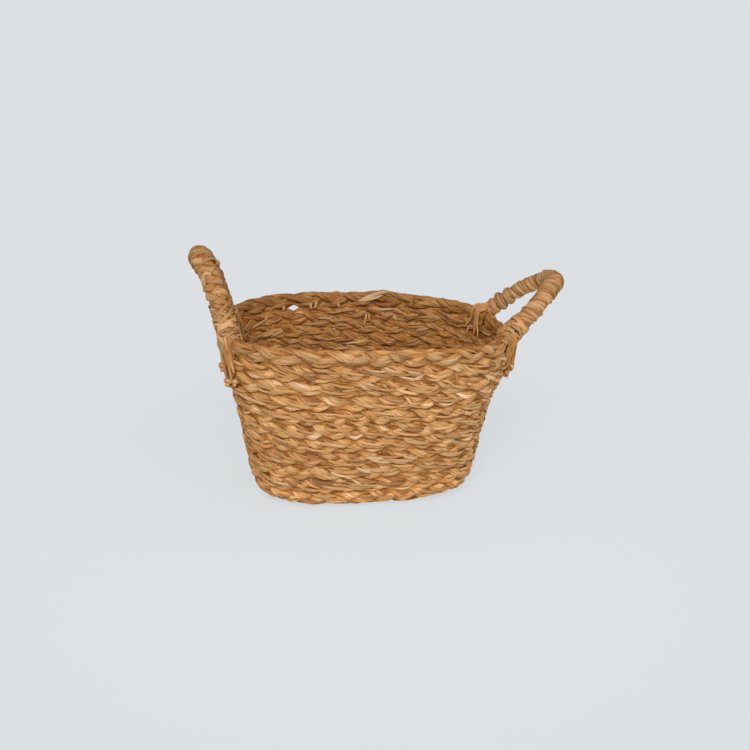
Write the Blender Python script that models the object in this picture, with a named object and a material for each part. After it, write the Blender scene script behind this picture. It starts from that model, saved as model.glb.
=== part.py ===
"""Decorative seagrass basket with two wound loop handles.

One long flat plait is sewn in a spiral: a straight first run, a flat base coil and eleven wall
courses. A thicker plait closes the rim. Each handle is a bundle of leaf wound with a strand, and
it tilts about the line through its two feet, where lashings tie it over the rim.

+X runs along the basket to its right end, +Y to its back, +Z up. The origin is on the surface
that the basket stands on, under the middle of the base. Lengths are in metres.
"""

import math

import bmesh
import bpy
from mathutils import Vector
from mathutils.geometry import intersect_point_line

# Outside of the body
RIM_REACH_LEFT = 0.1414
RIM_REACH_RIGHT = 0.1486
RIM_HALF_WIDTH = 0.105
BASE_HALF_LENGTH = 0.112
BASE_HALF_WIDTH = 0.0814
BODY_HEIGHT = 0.1717
CORNER_RADIUS = 0.0242

# The rim is not level: its right end is pulled down, and its long sides ride up
RIM_DROP_RIGHT = 0.0049
RIM_DROP_ENDS = 0.0030
RIM_RISE_FRONT = 0.0021

# Outlines, from an oval in the middle of the base to a rounded rectangle at its edge
CENTRE_SQUARENESS = 3.6
BASE_SQUARENESS = 3.3
RIM_SQUARENESS = 2.68
WALL_HOLLOW_SHARE = 0.129

# The plait and its turns
PLAIT_THICKNESS = 0.008
RIM_PLAIT_THICKNESS = 0.0124
BASE_TURNS = 4
WALL_COURSES = 11
SEAM_GAP = 0.0004
COIL_GAP = 0.0007
CLIMB_SHARE = 0.16
TAPER_END_SHARE = 0.3
COIL_LEAD_SHARE = 0.7
SEAM_DIRECTION = math.radians(131.0)
RIM_SEAM_DIRECTION = math.radians(62.0)
EDGE_SHARE = 0.2

# Handles
HANDLE_HEIGHT = 0.079
HANDLE_SPAN = 0.081
HANDLE_PINCH_SHARE = 0.25
LEFT_HANDLE_SHIFT = -0.0070
RIGHT_HANDLE_SHIFT = 0.0040
LEFT_LEAN = math.radians(13.9)
LEFT_CURL = math.radians(4.4)
RIGHT_LEAN = math.radians(50.4)
RIGHT_CURL = math.radians(1.6)
CURL_SHARPNESS = 6.0
CORE_RADIUS = 0.0072
FOOT_TIP_RADIUS = 0.0024
FOOT_TAPER = 0.009
FOOT_CLEARANCE = 0.0011
WINDING_THICKNESS = 0.0022
WINDING_TURNS = 22
WINDING_GAP = 0.0007
LEAST_STRETCH = 0.15
FOOT_LOOPS = 3
FOOT_LOOP_SWELL = 0.0014

# Lashings
LASHING_WIDTH = 0.014
LASHING_THICKNESS = 0.0022
LASHING_DROP_OUTSIDE = 0.040
LASHING_DROP_INSIDE = 0.030
KNOT_THICKNESS = 0.0058
LASHING_TUCK = math.radians(30.0)
LASHING_CLEARANCE = 0.0005
HOLLOW_SIDE_CLEARANCE = 0.0011

CLEARANCE = 0.0003

# Facets
STATIONS = 48
PROBE_SHARE = 0.001
RIM_SIDES = 12
WINDING_POINTS = 10
CORE_SIDES = 8
CORE_STATIONS = 30
FOOT_TAPER_STEPS = 4
HANDLE_LINE_STEPS = 240
STRETCH_PROBE_SHARE = 0.01
GAP_SEARCH_STEPS = 3
LASHING_ARC_STEPS = 8
LASHING_LEG_STEPS = 3

ALL_TURNS = BASE_TURNS + WALL_COURSES + 1
RIM_TURN = BASE_TURNS + WALL_COURSES
HALF_PLAIT = PLAIT_THICKNESS / 2
HALF_RIM_PLAIT = RIM_PLAIT_THICKNESS / 2
BEND_RADIUS = CORNER_RADIUS - HALF_PLAIT
BEND_LENGTH = BEND_RADIUS * math.pi / 2
WALL_LENGTH = BEND_LENGTH + BODY_HEIGHT - CORNER_RADIUS
WALL_PITCH = WALL_LENGTH / (WALL_COURSES + 1)
BASE_EDGE_HALF_WIDTH = BASE_HALF_WIDTH - CORNER_RADIUS
BASE_PITCH = BASE_EDGE_HALF_WIDTH / (BASE_TURNS + 0.5)
HALF_RIM_HEIGHT = (WALL_PITCH - SEAM_GAP) / 2
FOOT_TIP_REACH = HALF_RIM_HEIGHT + LASHING_CLEARANCE + LASHING_THICKNESS + FOOT_CLEARANCE
WINDING_RADIUS = (CORE_RADIUS + CLEARANCE) / math.cos(math.pi / WINDING_POINTS)

PLAIT_COLOUR = (0.50, 0.28, 0.11, 1.0)
RIM_COLOUR = (0.54, 0.31, 0.13, 1.0)
BASE_COLOUR = (0.42, 0.23, 0.09, 1.0)
CORE_COLOUR = (0.36, 0.19, 0.07, 1.0)
WINDING_COLOUR = (0.50, 0.27, 0.10, 1.0)
LASHING_COLOUR = (0.58, 0.36, 0.16, 1.0)
LEAF_ROUGHNESS = 0.72


def clear_scene():
    for old in list(bpy.data.objects):
        bpy.data.objects.remove(old, do_unlink=True)


def leaf_material(name, colour):
    material = bpy.data.materials.new(name)
    material.use_nodes = True
    shader = material.node_tree.nodes["Principled BSDF"]
    shader.inputs["Base Color"].default_value = colour
    shader.inputs["Roughness"].default_value = LEAF_ROUGHNESS
    shader.inputs["Metallic"].default_value = 0.0
    return material


def smooth(share):
    share = min(max(share, 0.0), 1.0)
    return share * share * (3.0 - 2.0 * share)


# The body's fabric: a surface midway through the plait


def unit_outline(angle, squareness):
    """A point of a rounded square of half width 1, in the direction of the angle."""
    across = abs(math.cos(angle)) ** squareness + abs(math.sin(angle)) ** squareness
    reach = across ** (-1.0 / squareness)
    return reach * math.cos(angle), reach * math.sin(angle)


def side_profile(climb):
    """Height of the fabric and how far its bend draws it in, for a length climbed past the base."""
    if climb < BEND_LENGTH:
        bend = climb / BEND_RADIUS
        return HALF_PLAIT + BEND_RADIUS * (1.0 - math.cos(bend)), BEND_RADIUS * (1.0 - math.sin(bend))
    return CORNER_RADIUS + climb - BEND_LENGTH, 0.0


def fabric(turn, angle):
    """Point of the fabric: turn 0 is the edge of the first run, BASE_TURNS the edge of the base."""
    climb = max(turn - BASE_TURNS, 0.0) * WALL_PITCH
    height, drawn_in = side_profile(climb)
    level = height / BODY_HEIGHT
    flare = level + WALL_HOLLOW_SHARE * level * (level - 1.0)
    inner = max(BASE_TURNS - turn, 0.0) * BASE_PITCH
    inset = drawn_in + HALF_PLAIT + inner
    rim_reach = RIM_REACH_RIGHT if math.cos(angle) > 0.0 else RIM_REACH_LEFT
    half_length = BASE_HALF_LENGTH + (rim_reach - BASE_HALF_LENGTH) * flare - inset
    half_width = BASE_HALF_WIDTH + (RIM_HALF_WIDTH - BASE_HALF_WIDTH) * flare - inset
    squareness = BASE_SQUARENESS + (RIM_SQUARENESS - BASE_SQUARENESS) * level
    if inner > 0.0:
        share = min(turn / BASE_TURNS, 1.0)
        squareness = CENTRE_SQUARENESS + (BASE_SQUARENESS - CENTRE_SQUARENESS) * share
    along, across = unit_outline(angle, squareness)
    rise = (
        RIM_DROP_ENDS * (0.5 - math.cos(angle) ** 2)
        - RIM_DROP_RIGHT * math.cos(angle)
        - RIM_RISE_FRONT * math.sin(angle)
    )
    return Vector((half_length * along, half_width * across, height + rise * level * level))


def fabric_frame(turn, angle):
    """Point of the fabric, its unit direction towards the rim, and its unit normal to the outside."""
    step = PROBE_SHARE
    point = fabric(turn, angle)
    up = (fabric(turn + step, angle) - fabric(turn - step, angle)).normalized()
    round_way = fabric(turn, angle + step) - fabric(turn, angle - step)
    outward = round_way.cross(up).normalized()
    return point, up, outward


def off_fabric(turn, angle, lift):
    point, _, outward = fabric_frame(turn, angle)
    return point + outward * lift


# Solids from sections


def add_loft(name, sections, material):
    """A solid through a row of sections, each a list of as many points, with flat ends."""
    shape = bmesh.new()
    rings = [[shape.verts.new(point) for point in section] for section in sections]
    count = len(rings[0])
    for ring, following in zip(rings, rings[1:]):
        for side in range(count):
            after = (side + 1) % count
            shape.faces.new((ring[side], ring[after], following[after], following[side]))
    shape.faces.new(rings[0])
    shape.faces.new(list(reversed(rings[-1])))
    bmesh.ops.recalc_face_normals(shape, faces=shape.faces)
    return add_object(name, shape, material)


def add_object(name, shape, material):
    mesh = bpy.data.meshes.new(name)
    shape.to_mesh(mesh)
    shape.free()
    mesh.materials.append(material)
    mesh.shade_smooth()
    mesh.set_sharp_from_angle(angle=math.radians(50.0))
    solid = bpy.data.objects.new(name, mesh)
    bpy.context.scene.collection.objects.link(solid)
    return solid


# The plait's turns


def climb_of(share):
    """How far a turn has climbed towards the next one, for the share of the turn that is done."""
    return smooth((share - 1.0 + CLIMB_SHARE) / CLIMB_SHARE)


def plait_edges(progress, lowest, highest):
    """Lower and upper edge of the plait, in turns, held between two edges of the fabric."""
    turn = math.floor(progress)
    start = turn + climb_of(progress - turn)
    return max(start, lowest), min(start + 1.0, highest)


def wall_section(low, high, angle, half_thickness):
    """Six points: a narrow flat side to each neighbour and a crest on each face."""
    middle = (low + high) / 2
    edge = 2 * half_thickness * EDGE_SHARE
    return [
        off_fabric(low, angle, -edge),
        off_fabric(low, angle, edge),
        off_fabric(middle, angle, half_thickness),
        off_fabric(high, angle, edge),
        off_fabric(high, angle, -edge),
        off_fabric(middle, angle, -half_thickness),
    ]


def base_section(low, high, angle):
    """Five points: flat below, where the basket stands, and a crest above."""
    middle = (low + high) / 2
    edge = 2 * HALF_PLAIT * EDGE_SHARE
    return [
        off_fabric(low, angle, HALF_PLAIT),
        off_fabric(high, angle, HALF_PLAIT),
        off_fabric(high, angle, -edge),
        off_fabric(middle, angle, -HALF_PLAIT),
        off_fabric(low, angle, -edge),
    ]


def rim_section(angle):
    """A rounded section of a plait that is nearly as thick as it is high, flat above and below."""
    point, up, outward = fabric_frame(RIM_TURN + 0.5, angle)
    half_side = math.pi / RIM_SIDES
    corners = [half_side * (2 * side + 1) for side in range(RIM_SIDES)]
    high = up * (HALF_RIM_HEIGHT / math.cos(half_side))
    wide = outward * (HALF_RIM_PLAIT / math.cos(half_side))
    return [point + high * math.sin(corner) + wide * math.cos(corner) for corner in corners]


def make_first_run(material):
    """The straight start of the plait, flat below."""
    shape = bmesh.new()
    gap = COIL_GAP / BASE_PITCH
    ring = []
    for station in range(STATIONS):
        point = fabric(-gap, math.tau * station / STATIONS)
        ring.append(shape.verts.new((point.x, point.y, 0.0)))
    foot = shape.faces.new(ring)
    shoulder = PLAIT_THICKNESS * (0.5 + EDGE_SHARE)
    raised = bmesh.ops.extrude_face_region(shape, geom=[foot])["geom"]
    for vert in (item for item in raised if isinstance(item, bmesh.types.BMVert)):
        vert.co.z = shoulder
    top = [item for item in raised if isinstance(item, bmesh.types.BMFace)]
    bmesh.ops.inset_region(shape, faces=top, thickness=BASE_PITCH / 4, depth=0.0)
    for vert in top[0].verts:
        vert.co.z = PLAIT_THICKNESS
    bmesh.ops.recalc_face_normals(shape, faces=shape.faces)
    return add_object("base_first_run", shape, material)


def make_base_coil(material):
    """Four turns in one unbroken plait, tapered at its start, where the first run bends into it."""
    gap = COIL_GAP / BASE_PITCH / 2
    first = -CLIMB_SHARE * COIL_LEAD_SHARE
    last = BASE_TURNS - SEAM_GAP / (math.tau * BASE_HALF_WIDTH)
    steps = round(STATIONS * (last - first))
    sections = []
    for step in range(steps + 1):
        progress = first + (last - first) * step / steps
        low, high = plait_edges(progress, 0.0, ALL_TURNS)
        angle = SEAM_DIRECTION + math.tau * progress
        sections.append(base_section(low + gap, high - gap, angle))
    print("least gap of base_coil to itself, m:", round(least_gap(sections, STATIONS, (1, 2), (0, 4)), 5))
    return add_loft("base_coil", sections, material)


def least_gap(sections, turn, far_edges, near_edges):
    """Least distance between the far edges of each turn and the near edges of the next one."""
    least = math.inf
    for index, section in enumerate(sections):
        first = index + turn - GAP_SEARCH_STEPS
        for other in range(first, min(first + 2 * GAP_SEARCH_STEPS, len(sections) - 1)):
            for far in far_edges:
                for near in near_edges:
                    start, end = sections[other][near], sections[other + 1][near]
                    foot, share = intersect_point_line(section[far], start, end)
                    foot = start if share < 0.0 else end if share > 1.0 else foot
                    least = min(least, (foot - section[far]).length)
    return least


def make_wall_courses(material):
    """Each course is one turn; the last one thins out under the rim."""
    gap = SEAM_GAP / WALL_PITCH / 2
    end_gap = SEAM_GAP / (math.tau * BASE_HALF_WIDTH)
    for course in range(WALL_COURSES):
        first = BASE_TURNS + course
        last = first + 1 - end_gap
        if course == WALL_COURSES - 1:
            last -= CLIMB_SHARE * TAPER_END_SHARE
        sections = []
        for step in range(STATIONS + 1):
            progress = first + (last - first) * step / STATIONS
            low, high = plait_edges(progress, BASE_TURNS, RIM_TURN)
            angle = SEAM_DIRECTION + math.tau * progress
            sections.append(wall_section(low + gap, high - gap, angle, HALF_PLAIT))
        add_loft(f"wall_course_{course + 1:02d}", sections, material)


def make_rim_plait(material):
    """The rim's plait goes round once, its ends meeting at the back right."""
    end_gap = SEAM_GAP / (math.tau * RIM_HALF_WIDTH)
    sections = []
    for step in range(STATIONS + 1):
        share = end_gap + (1.0 - 2 * end_gap) * step / STATIONS
        sections.append(rim_section(RIM_SEAM_DIRECTION + math.tau * share))
    return add_loft("rim_plait", sections, material)


# Handles


def rim_angle_at(side, y):
    """Direction, on the side given as -1 or 1, in which the middle of the rim plait has this y."""
    low, high = -math.pi / 2, math.pi / 2
    for _ in range(50):
        middle = (low + high) / 2
        if fabric(RIM_TURN + 0.5, middle).y < y:
            low = middle
        else:
            high = middle
    return low if side > 0 else math.pi - low


def handle_feet(side, shift):
    """Front and back foot of a handle: points in the middle of the rim plait, and their directions."""
    angles = [rim_angle_at(side, shift + way * HANDLE_SPAN / 2) for way in (-1.0, 1.0)]
    return [fabric(RIM_TURN + 0.5, angle) for angle in angles], angles


class HandlePath:
    """The middle line of a handle, from its front foot over the top to its back foot."""

    def __init__(self, side, shift, lean, curl):
        (front, back), self.foot_angles = handle_feet(side, shift)
        self.middle = (front + back) / 2
        self.along = (back - front).normalized()
        self.half_span = (back - front).length / 2
        self.out = Vector((side, 0.0, 0.0))
        self.out = (self.out - self.along * self.out.dot(self.along)).normalized()
        self.up = self.out.cross(self.along) * side
        self.lean = lean
        self.curl = curl
        self.table = self.measure()
        self.length = self.table[-1][0]

    def point(self, swing):
        """The swing goes from 0 at the front foot to pi at the back foot."""
        rise = HANDLE_HEIGHT * math.sin(swing)
        pinch = 1.0 - HANDLE_PINCH_SHARE * math.sin(swing) ** 2
        tilt = self.lean + self.curl * math.sin(swing) ** CURL_SHARPNESS
        place = self.middle - self.along * (self.half_span * math.cos(swing) * pinch)
        return place + self.out * (rise * math.sin(tilt)) + self.up * (rise * math.cos(tilt))

    def measure(self):
        """Pairs of length and swing along the line between the two foot tips."""
        tip = math.asin(FOOT_TIP_REACH / HANDLE_HEIGHT)
        table = [(0.0, tip)]
        before = self.point(tip)
        for step in range(1, HANDLE_LINE_STEPS + 1):
            swing = tip + (math.pi - 2 * tip) * step / HANDLE_LINE_STEPS
            here = self.point(swing)
            table.append((table[-1][0] + (here - before).length, swing))
            before = here
        return table

    def swing_at(self, length):
        low, high = 0, len(self.table) - 1
        while high - low > 1:
            middle = (low + high) // 2
            if self.table[middle][0] < length:
                low = middle
            else:
                high = middle
        share = (length - self.table[low][0]) / (self.table[high][0] - self.table[low][0])
        return self.table[low][1] + (self.table[high][1] - self.table[low][1]) * share

    def length_at(self, swing):
        first, last = self.table[0][1], self.table[-1][1]
        place = (swing - first) / (last - first) * HANDLE_LINE_STEPS
        index = min(int(place), HANDLE_LINE_STEPS - 1)
        low, high = self.table[index][0], self.table[index + 1][0]
        return low + (high - low) * (place - index)

    def frame(self, length):
        """Point, direction, side away from the basket and side out of the loop, at a length."""
        swing = self.swing_at(length)
        point = self.point(swing)
        ahead = (self.point(swing + PROBE_SHARE) - self.point(swing - PROBE_SHARE)).normalized()
        face = self.out * math.cos(self.lean) - self.up * math.sin(self.lean)
        face = (face - ahead * face.dot(ahead)).normalized()
        return point, ahead, face, ahead.cross(face)

    def around(self, length, angle, radius):
        point, _, face, rim = self.frame(length)
        return point + (face * math.cos(angle) + rim * math.sin(angle)) * radius

    def stretch(self, length, angle, radius):
        """Length beside the middle line for each length along it, which is small inside a bend."""
        step = self.length * STRETCH_PROBE_SHARE
        low = max(length - step, 0.0)
        high = min(length + step, self.length)
        run = self.around(high, angle, radius) - self.around(low, angle, radius)
        return run.dot(self.frame(length)[1]) / (high - low)


def core_radius_at(path, length):
    from_tip = min(length, path.length - length)
    return FOOT_TIP_RADIUS + (CORE_RADIUS - FOOT_TIP_RADIUS) * math.sin(
        min(from_tip / FOOT_TAPER, 1.0) * math.pi / 2
    )


def make_core(name, path, material):
    """A bundle with tapered feet. Its stations lie closest together in the bend at the top."""
    rises = [FOOT_TAPER * step / FOOT_TAPER_STEPS for step in range(FOOT_TAPER_STEPS)]
    first, last = path.swing_at(FOOT_TAPER), path.swing_at(path.length - FOOT_TAPER)
    middle_steps = CORE_STATIONS - 2 * FOOT_TAPER_STEPS
    swings = [first + (last - first) * step / middle_steps for step in range(middle_steps + 1)]
    lengths = rises + [path.length_at(swing) for swing in swings]
    lengths += [path.length - rise for rise in reversed(rises)]
    angles = [math.tau * (side + 0.5) / CORE_SIDES for side in range(CORE_SIDES)]
    sections = []
    for length in lengths:
        radius = core_radius_at(path, length)
        sections.append([path.around(length, angle, radius) for angle in angles])
    return add_loft(name, sections, material)


def make_winding(name, path, foot_loops, material):
    """One strand wound from the front foot to the back foot, thicker in its last loops.

    Each loop is narrower on the inner side of the handle's bend, where the loops come together.
    """
    start = FOOT_TAPER / 2
    pitch = (path.length - 2 * start) / (WINDING_TURNS + 1)
    sections = []
    for step in range(WINDING_TURNS * WINDING_POINTS + 1):
        turns = step / WINDING_POINTS
        middle = start + pitch * (turns + 0.5)
        outer = WINDING_RADIUS + WINDING_THICKNESS
        left = WINDING_TURNS - turns
        if left < foot_loops:
            outer += FOOT_LOOP_SWELL * math.sin(math.pi * (left % 1.0))
        angle = math.tau * turns
        stretch = max(path.stretch(middle, angle, outer), LEAST_STRETCH)
        half = (pitch - WINDING_GAP / stretch) / 2
        shoulder = (WINDING_RADIUS + outer) / 2
        sections.append([
            path.around(middle, angle, WINDING_RADIUS),
            path.around(middle - half, angle, WINDING_RADIUS),
            path.around(middle - half, angle, shoulder),
            path.around(middle, angle, outer),
            path.around(middle + half, angle, shoulder),
            path.around(middle + half, angle, WINDING_RADIUS),
        ])
    gap = least_gap(sections, WINDING_POINTS, (4, 5), (1, 2))
    print("least gap of", name, "to itself, m:", round(gap, 5))
    return add_loft(name, sections, material)


# Lashings


def lashing_route(angle):
    """Pairs of a middle point and its outward side, from the knot over the rim to the inside."""
    lift_outside = HALF_PLAIT + LASHING_CLEARANCE + LASHING_THICKNESS / 2
    lift_inside = -(HALF_PLAIT + HOLLOW_SIDE_CLEARANCE + LASHING_THICKNESS / 2)
    knot_end = RIM_TURN + 0.5 - LASHING_DROP_OUTSIDE / WALL_PITCH
    inner_end = RIM_TURN + 0.5 - LASHING_DROP_INSIDE / WALL_PITCH
    route = []
    for step in range(LASHING_LEG_STEPS):
        turn = knot_end + (RIM_TURN - knot_end) * step / LASHING_LEG_STEPS
        point, _, outward = fabric_frame(turn, angle)
        route.append((point + outward * lift_outside, outward))
    point, up, outward = fabric_frame(RIM_TURN + 0.5, angle)
    over = HALF_RIM_HEIGHT + LASHING_CLEARANCE + LASHING_THICKNESS / 2
    for step in range(LASHING_ARC_STEPS + 1):
        turn = -LASHING_TUCK + (math.pi + 2 * LASHING_TUCK) * step / LASHING_ARC_STEPS
        gap = LASHING_CLEARANCE if math.cos(turn) > 0.0 else HOLLOW_SIDE_CLEARANCE
        beside = HALF_RIM_PLAIT + gap + LASHING_THICKNESS / 2
        side = outward * math.cos(turn) + up * math.sin(turn)
        bend = outward * (beside * math.cos(turn)) + up * (over * math.sin(turn))
        route.append((point + bend, side))
    for step in reversed(range(LASHING_LEG_STEPS)):
        turn = inner_end + (RIM_TURN - inner_end) * step / LASHING_LEG_STEPS
        point, _, outward = fabric_frame(turn, angle)
        route.append((point + outward * lift_inside, -outward))
    return route


def make_lashing(name, angle, material):
    """A band of strands over the rim, with its knot at the lower end outside."""
    reach = fabric(RIM_TURN + 0.5, angle).xy.length
    spread = LASHING_WIDTH / 2 / reach
    columns = [lashing_route(angle + share * spread) for share in (-1.0, 0.0, 1.0)]
    sections = []
    for stop in range(len(columns[0])):
        section = []
        for column in columns:
            point, side = column[stop]
            section.append(point - side * (LASHING_THICKNESS / 2))
        for column in reversed(columns):
            point, side = column[stop]
            thick = LASHING_THICKNESS / 2
            if stop == 0:
                thick += KNOT_THICKNESS - LASHING_THICKNESS
            section.append(point + side * thick)
        sections.append(section)
    return add_loft(name, sections, material)


def make_handle(label, side, shift, lean, curl, foot_loops, materials):
    path = HandlePath(side, shift, lean, curl)
    make_core(f"{label}_handle_core", path, materials["core"])
    make_winding(f"{label}_handle_winding", path, foot_loops, materials["winding"])
    for place, angle in zip(("front", "back"), path.foot_angles):
        make_lashing(f"{label}_{place}_lashing", angle, materials["lashing"])


def main():
    clear_scene()
    materials = {
        "base": leaf_material("base_seagrass", BASE_COLOUR),
        "wall": leaf_material("wall_seagrass", PLAIT_COLOUR),
        "rim": leaf_material("rim_seagrass", RIM_COLOUR),
        "core": leaf_material("handle_bundle", CORE_COLOUR),
        "winding": leaf_material("handle_strand", WINDING_COLOUR),
        "lashing": leaf_material("lashing_strand", LASHING_COLOUR),
    }
    make_first_run(materials["base"])
    make_base_coil(materials["base"])
    make_wall_courses(materials["wall"])
    make_rim_plait(materials["rim"])
    make_handle("left", -1, LEFT_HANDLE_SHIFT, LEFT_LEAN, LEFT_CURL, 0, materials)
    make_handle("right", 1, RIGHT_HANDLE_SHIFT, RIGHT_LEAN, RIGHT_CURL, FOOT_LOOPS, materials)


main()
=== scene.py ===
"""Looks of the seagrass basket: its plaits, windings, lashings and stitches as real strands of leaf.

The fabric map and the handle lines repeat those of the CAD source, so every strand lies where its
solid is. Lengths are in metres. +X runs to the right end, +Y to the back, +Z up.
"""

import math

import bpy
import numpy as np
from mathutils import Matrix, Vector


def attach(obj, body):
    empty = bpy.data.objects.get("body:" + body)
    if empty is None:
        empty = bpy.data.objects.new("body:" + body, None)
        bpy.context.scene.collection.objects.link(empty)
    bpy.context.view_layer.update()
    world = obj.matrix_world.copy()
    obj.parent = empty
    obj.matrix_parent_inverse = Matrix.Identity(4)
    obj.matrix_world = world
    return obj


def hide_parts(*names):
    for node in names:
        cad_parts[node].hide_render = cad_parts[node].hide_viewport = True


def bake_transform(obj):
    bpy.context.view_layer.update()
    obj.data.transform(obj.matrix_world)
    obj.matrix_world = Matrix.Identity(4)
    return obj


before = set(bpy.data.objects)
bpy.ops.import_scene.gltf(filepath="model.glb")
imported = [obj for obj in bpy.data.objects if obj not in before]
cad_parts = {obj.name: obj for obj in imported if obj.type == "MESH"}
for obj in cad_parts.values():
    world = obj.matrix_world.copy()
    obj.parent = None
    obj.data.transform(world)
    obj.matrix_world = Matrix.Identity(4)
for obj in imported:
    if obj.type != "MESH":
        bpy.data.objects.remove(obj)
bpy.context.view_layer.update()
for selected in bpy.context.selected_objects:
    selected.select_set(False)

# The body, as in the CAD source
RIM_REACH_LEFT, RIM_REACH_RIGHT, RIM_HALF_WIDTH = 0.1414, 0.1486, 0.105
BASE_HALF_LENGTH, BASE_HALF_WIDTH = 0.112, 0.0814
BODY_HEIGHT, CORNER_RADIUS = 0.1717, 0.0242
RIM_DROP_RIGHT, RIM_DROP_ENDS, RIM_RISE_FRONT = 0.0049, 0.0030, 0.0021
CENTRE_SQUARENESS, BASE_SQUARENESS, RIM_SQUARENESS = 3.6, 3.3, 2.68
WALL_HOLLOW_SHARE = 0.129
HALF_PLAIT, HALF_RIM_PLAIT = 0.004, 0.0062
BASE_TURNS, WALL_COURSES = 4, 11
CLIMB_SHARE, TAPER_END_SHARE, COIL_LEAD_SHARE = 0.16, 0.3, 0.7
SEAM_DIRECTION, RIM_SEAM_DIRECTION = math.radians(131.0), math.radians(62.0)
RIM_TURN = BASE_TURNS + WALL_COURSES
BEND_RADIUS = CORNER_RADIUS - HALF_PLAIT
BEND_LENGTH = BEND_RADIUS * math.pi / 2
WALL_PITCH = (BEND_LENGTH + BODY_HEIGHT - CORNER_RADIUS) / (WALL_COURSES + 1)
BASE_PITCH = (BASE_HALF_WIDTH - CORNER_RADIUS) / (BASE_TURNS + 0.5)

# The handles, as in the CAD source
HANDLE_HEIGHT, HANDLE_SPAN, HANDLE_PINCH_SHARE, CURL_SHARPNESS = 0.079, 0.081, 0.25, 6.0
FOOT_TIP_REACH = 0.0111
WINDING_RADIUS = 0.0079

TAU = math.tau
# The front feet pull the wall outward below the rim: how far, and the direction and turn where it is most
PULLS = ((0.0062, -0.35, 13.5), (0.0034, 3.57, 13.3))
PULL_ANGLE, PULL_TURNS = 0.5, 1.5
TRACK_ROWS_PER_TURN = 500
RIM_MIDDLE = np.array(RIM_TURN + 0.5)


# Maths, mostly on rows of vectors


def unit(rows):
    return rows / np.maximum(np.linalg.norm(rows, axis=-1, keepdims=True), 1e-12)


def smooth(share):
    share = np.clip(share, 0.0, 1.0)
    return share * share * (3.0 - 2.0 * share)


def metres(millimetres):
    return [length / 1000 for length in millimetres]


def lengths_along(line):
    """The length of a line of points up to each of them."""
    steps = np.linalg.norm(np.diff(line, axis=0), axis=1)
    return np.concatenate([[0.0], np.cumsum(steps)])


class Wander:
    """A smooth random line through 0, of amplitude about 1, with a wavelength in metres."""

    def __init__(self, dice, wavelength):
        self.pace = TAU / (wavelength * dice.uniform(0.7, 1.5, 4))
        self.shift = dice.uniform(0.0, TAU, 4)

    def __call__(self, along):
        waves = np.sin(np.multiply.outer(np.asarray(along, float), self.pace) + self.shift)
        return waves.sum(axis=-1) / 2.0


def smooth_route(points, count):
    """A smooth line with so many points through the points given, by cubic stretches between them."""
    points = np.asarray(points, float)
    padded = np.concatenate([[2 * points[0] - points[1]], points, [2 * points[-1] - points[-2]]])
    place = np.linspace(0.0, len(points) - 1.0, count)
    index = np.minimum(place.astype(int), len(points) - 2)
    share = (place - index)[:, None]
    before, first, last, after = (padded[index + step] for step in range(4))
    bend = 2 * before - 5 * first + 4 * last - after
    swing = 3 * first - before - 3 * last + after
    return 0.5 * (2 * first + (last - before) * share + bend * share**2 + swing * share**3)


# The fabric, which is the surface midway through the plait


def fabric(turn, angle):
    """Turn 0 is the edge of the first run, BASE_TURNS that of the base, RIM_TURN the rim's lower edge."""
    climb = np.maximum(turn - BASE_TURNS, 0.0) * WALL_PITCH
    bend = np.minimum(climb, BEND_LENGTH) / BEND_RADIUS
    height = HALF_PLAIT + BEND_RADIUS * (1.0 - np.cos(bend)) + np.maximum(climb - BEND_LENGTH, 0.0)
    level = height / BODY_HEIGHT
    flare = level + WALL_HOLLOW_SHARE * level * (level - 1.0)
    inner = np.maximum(BASE_TURNS - turn, 0.0) * BASE_PITCH
    inset = BEND_RADIUS * (1.0 - np.sin(bend)) + HALF_PLAIT + inner
    rim_reach = np.where(np.cos(angle) > 0.0, RIM_REACH_RIGHT, RIM_REACH_LEFT)
    half_length = BASE_HALF_LENGTH + (rim_reach - BASE_HALF_LENGTH) * flare - inset
    half_width = BASE_HALF_WIDTH + (RIM_HALF_WIDTH - BASE_HALF_WIDTH) * flare - inset
    squareness = BASE_SQUARENESS + (RIM_SQUARENESS - BASE_SQUARENESS) * level
    base_share = np.clip(turn / BASE_TURNS, 0.0, 1.0)
    on_base = CENTRE_SQUARENESS + (BASE_SQUARENESS - CENTRE_SQUARENESS) * base_share
    squareness = np.where(inner > 0.0, on_base, squareness)
    along, across = np.cos(angle), np.sin(angle)
    reach = (np.abs(along) ** squareness + np.abs(across) ** squareness) ** (-1.0 / squareness)
    rise = RIM_DROP_ENDS * (0.5 - along**2) - RIM_DROP_RIGHT * along - RIM_RISE_FRONT * across
    return np.stack(
        [half_length * reach * along, half_width * reach * across, height + rise * level * level], axis=-1
    )


def fabric_axes(turn, angle):
    """Point of the fabric, its directions to the rim and to the outside, and one turn's width there."""
    step = 0.002
    climb = (fabric(turn + step, angle) - fabric(turn - step, angle)) / (2 * step)
    pitch = np.linalg.norm(climb, axis=-1)
    up = unit(climb)
    outward = unit(np.cross(fabric(turn, angle + step) - fabric(turn, angle - step), up))
    point = fabric(turn, angle)
    for pull, direction, height in PULLS:
        apart = np.angle(np.exp(1j * (angle - direction)))
        near = np.exp(-((apart / PULL_ANGLE) ** 2) - ((turn - height) / PULL_TURNS) ** 2)
        point = point + outward * (pull * near)[..., None]
    return point, up, outward, pitch


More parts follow.
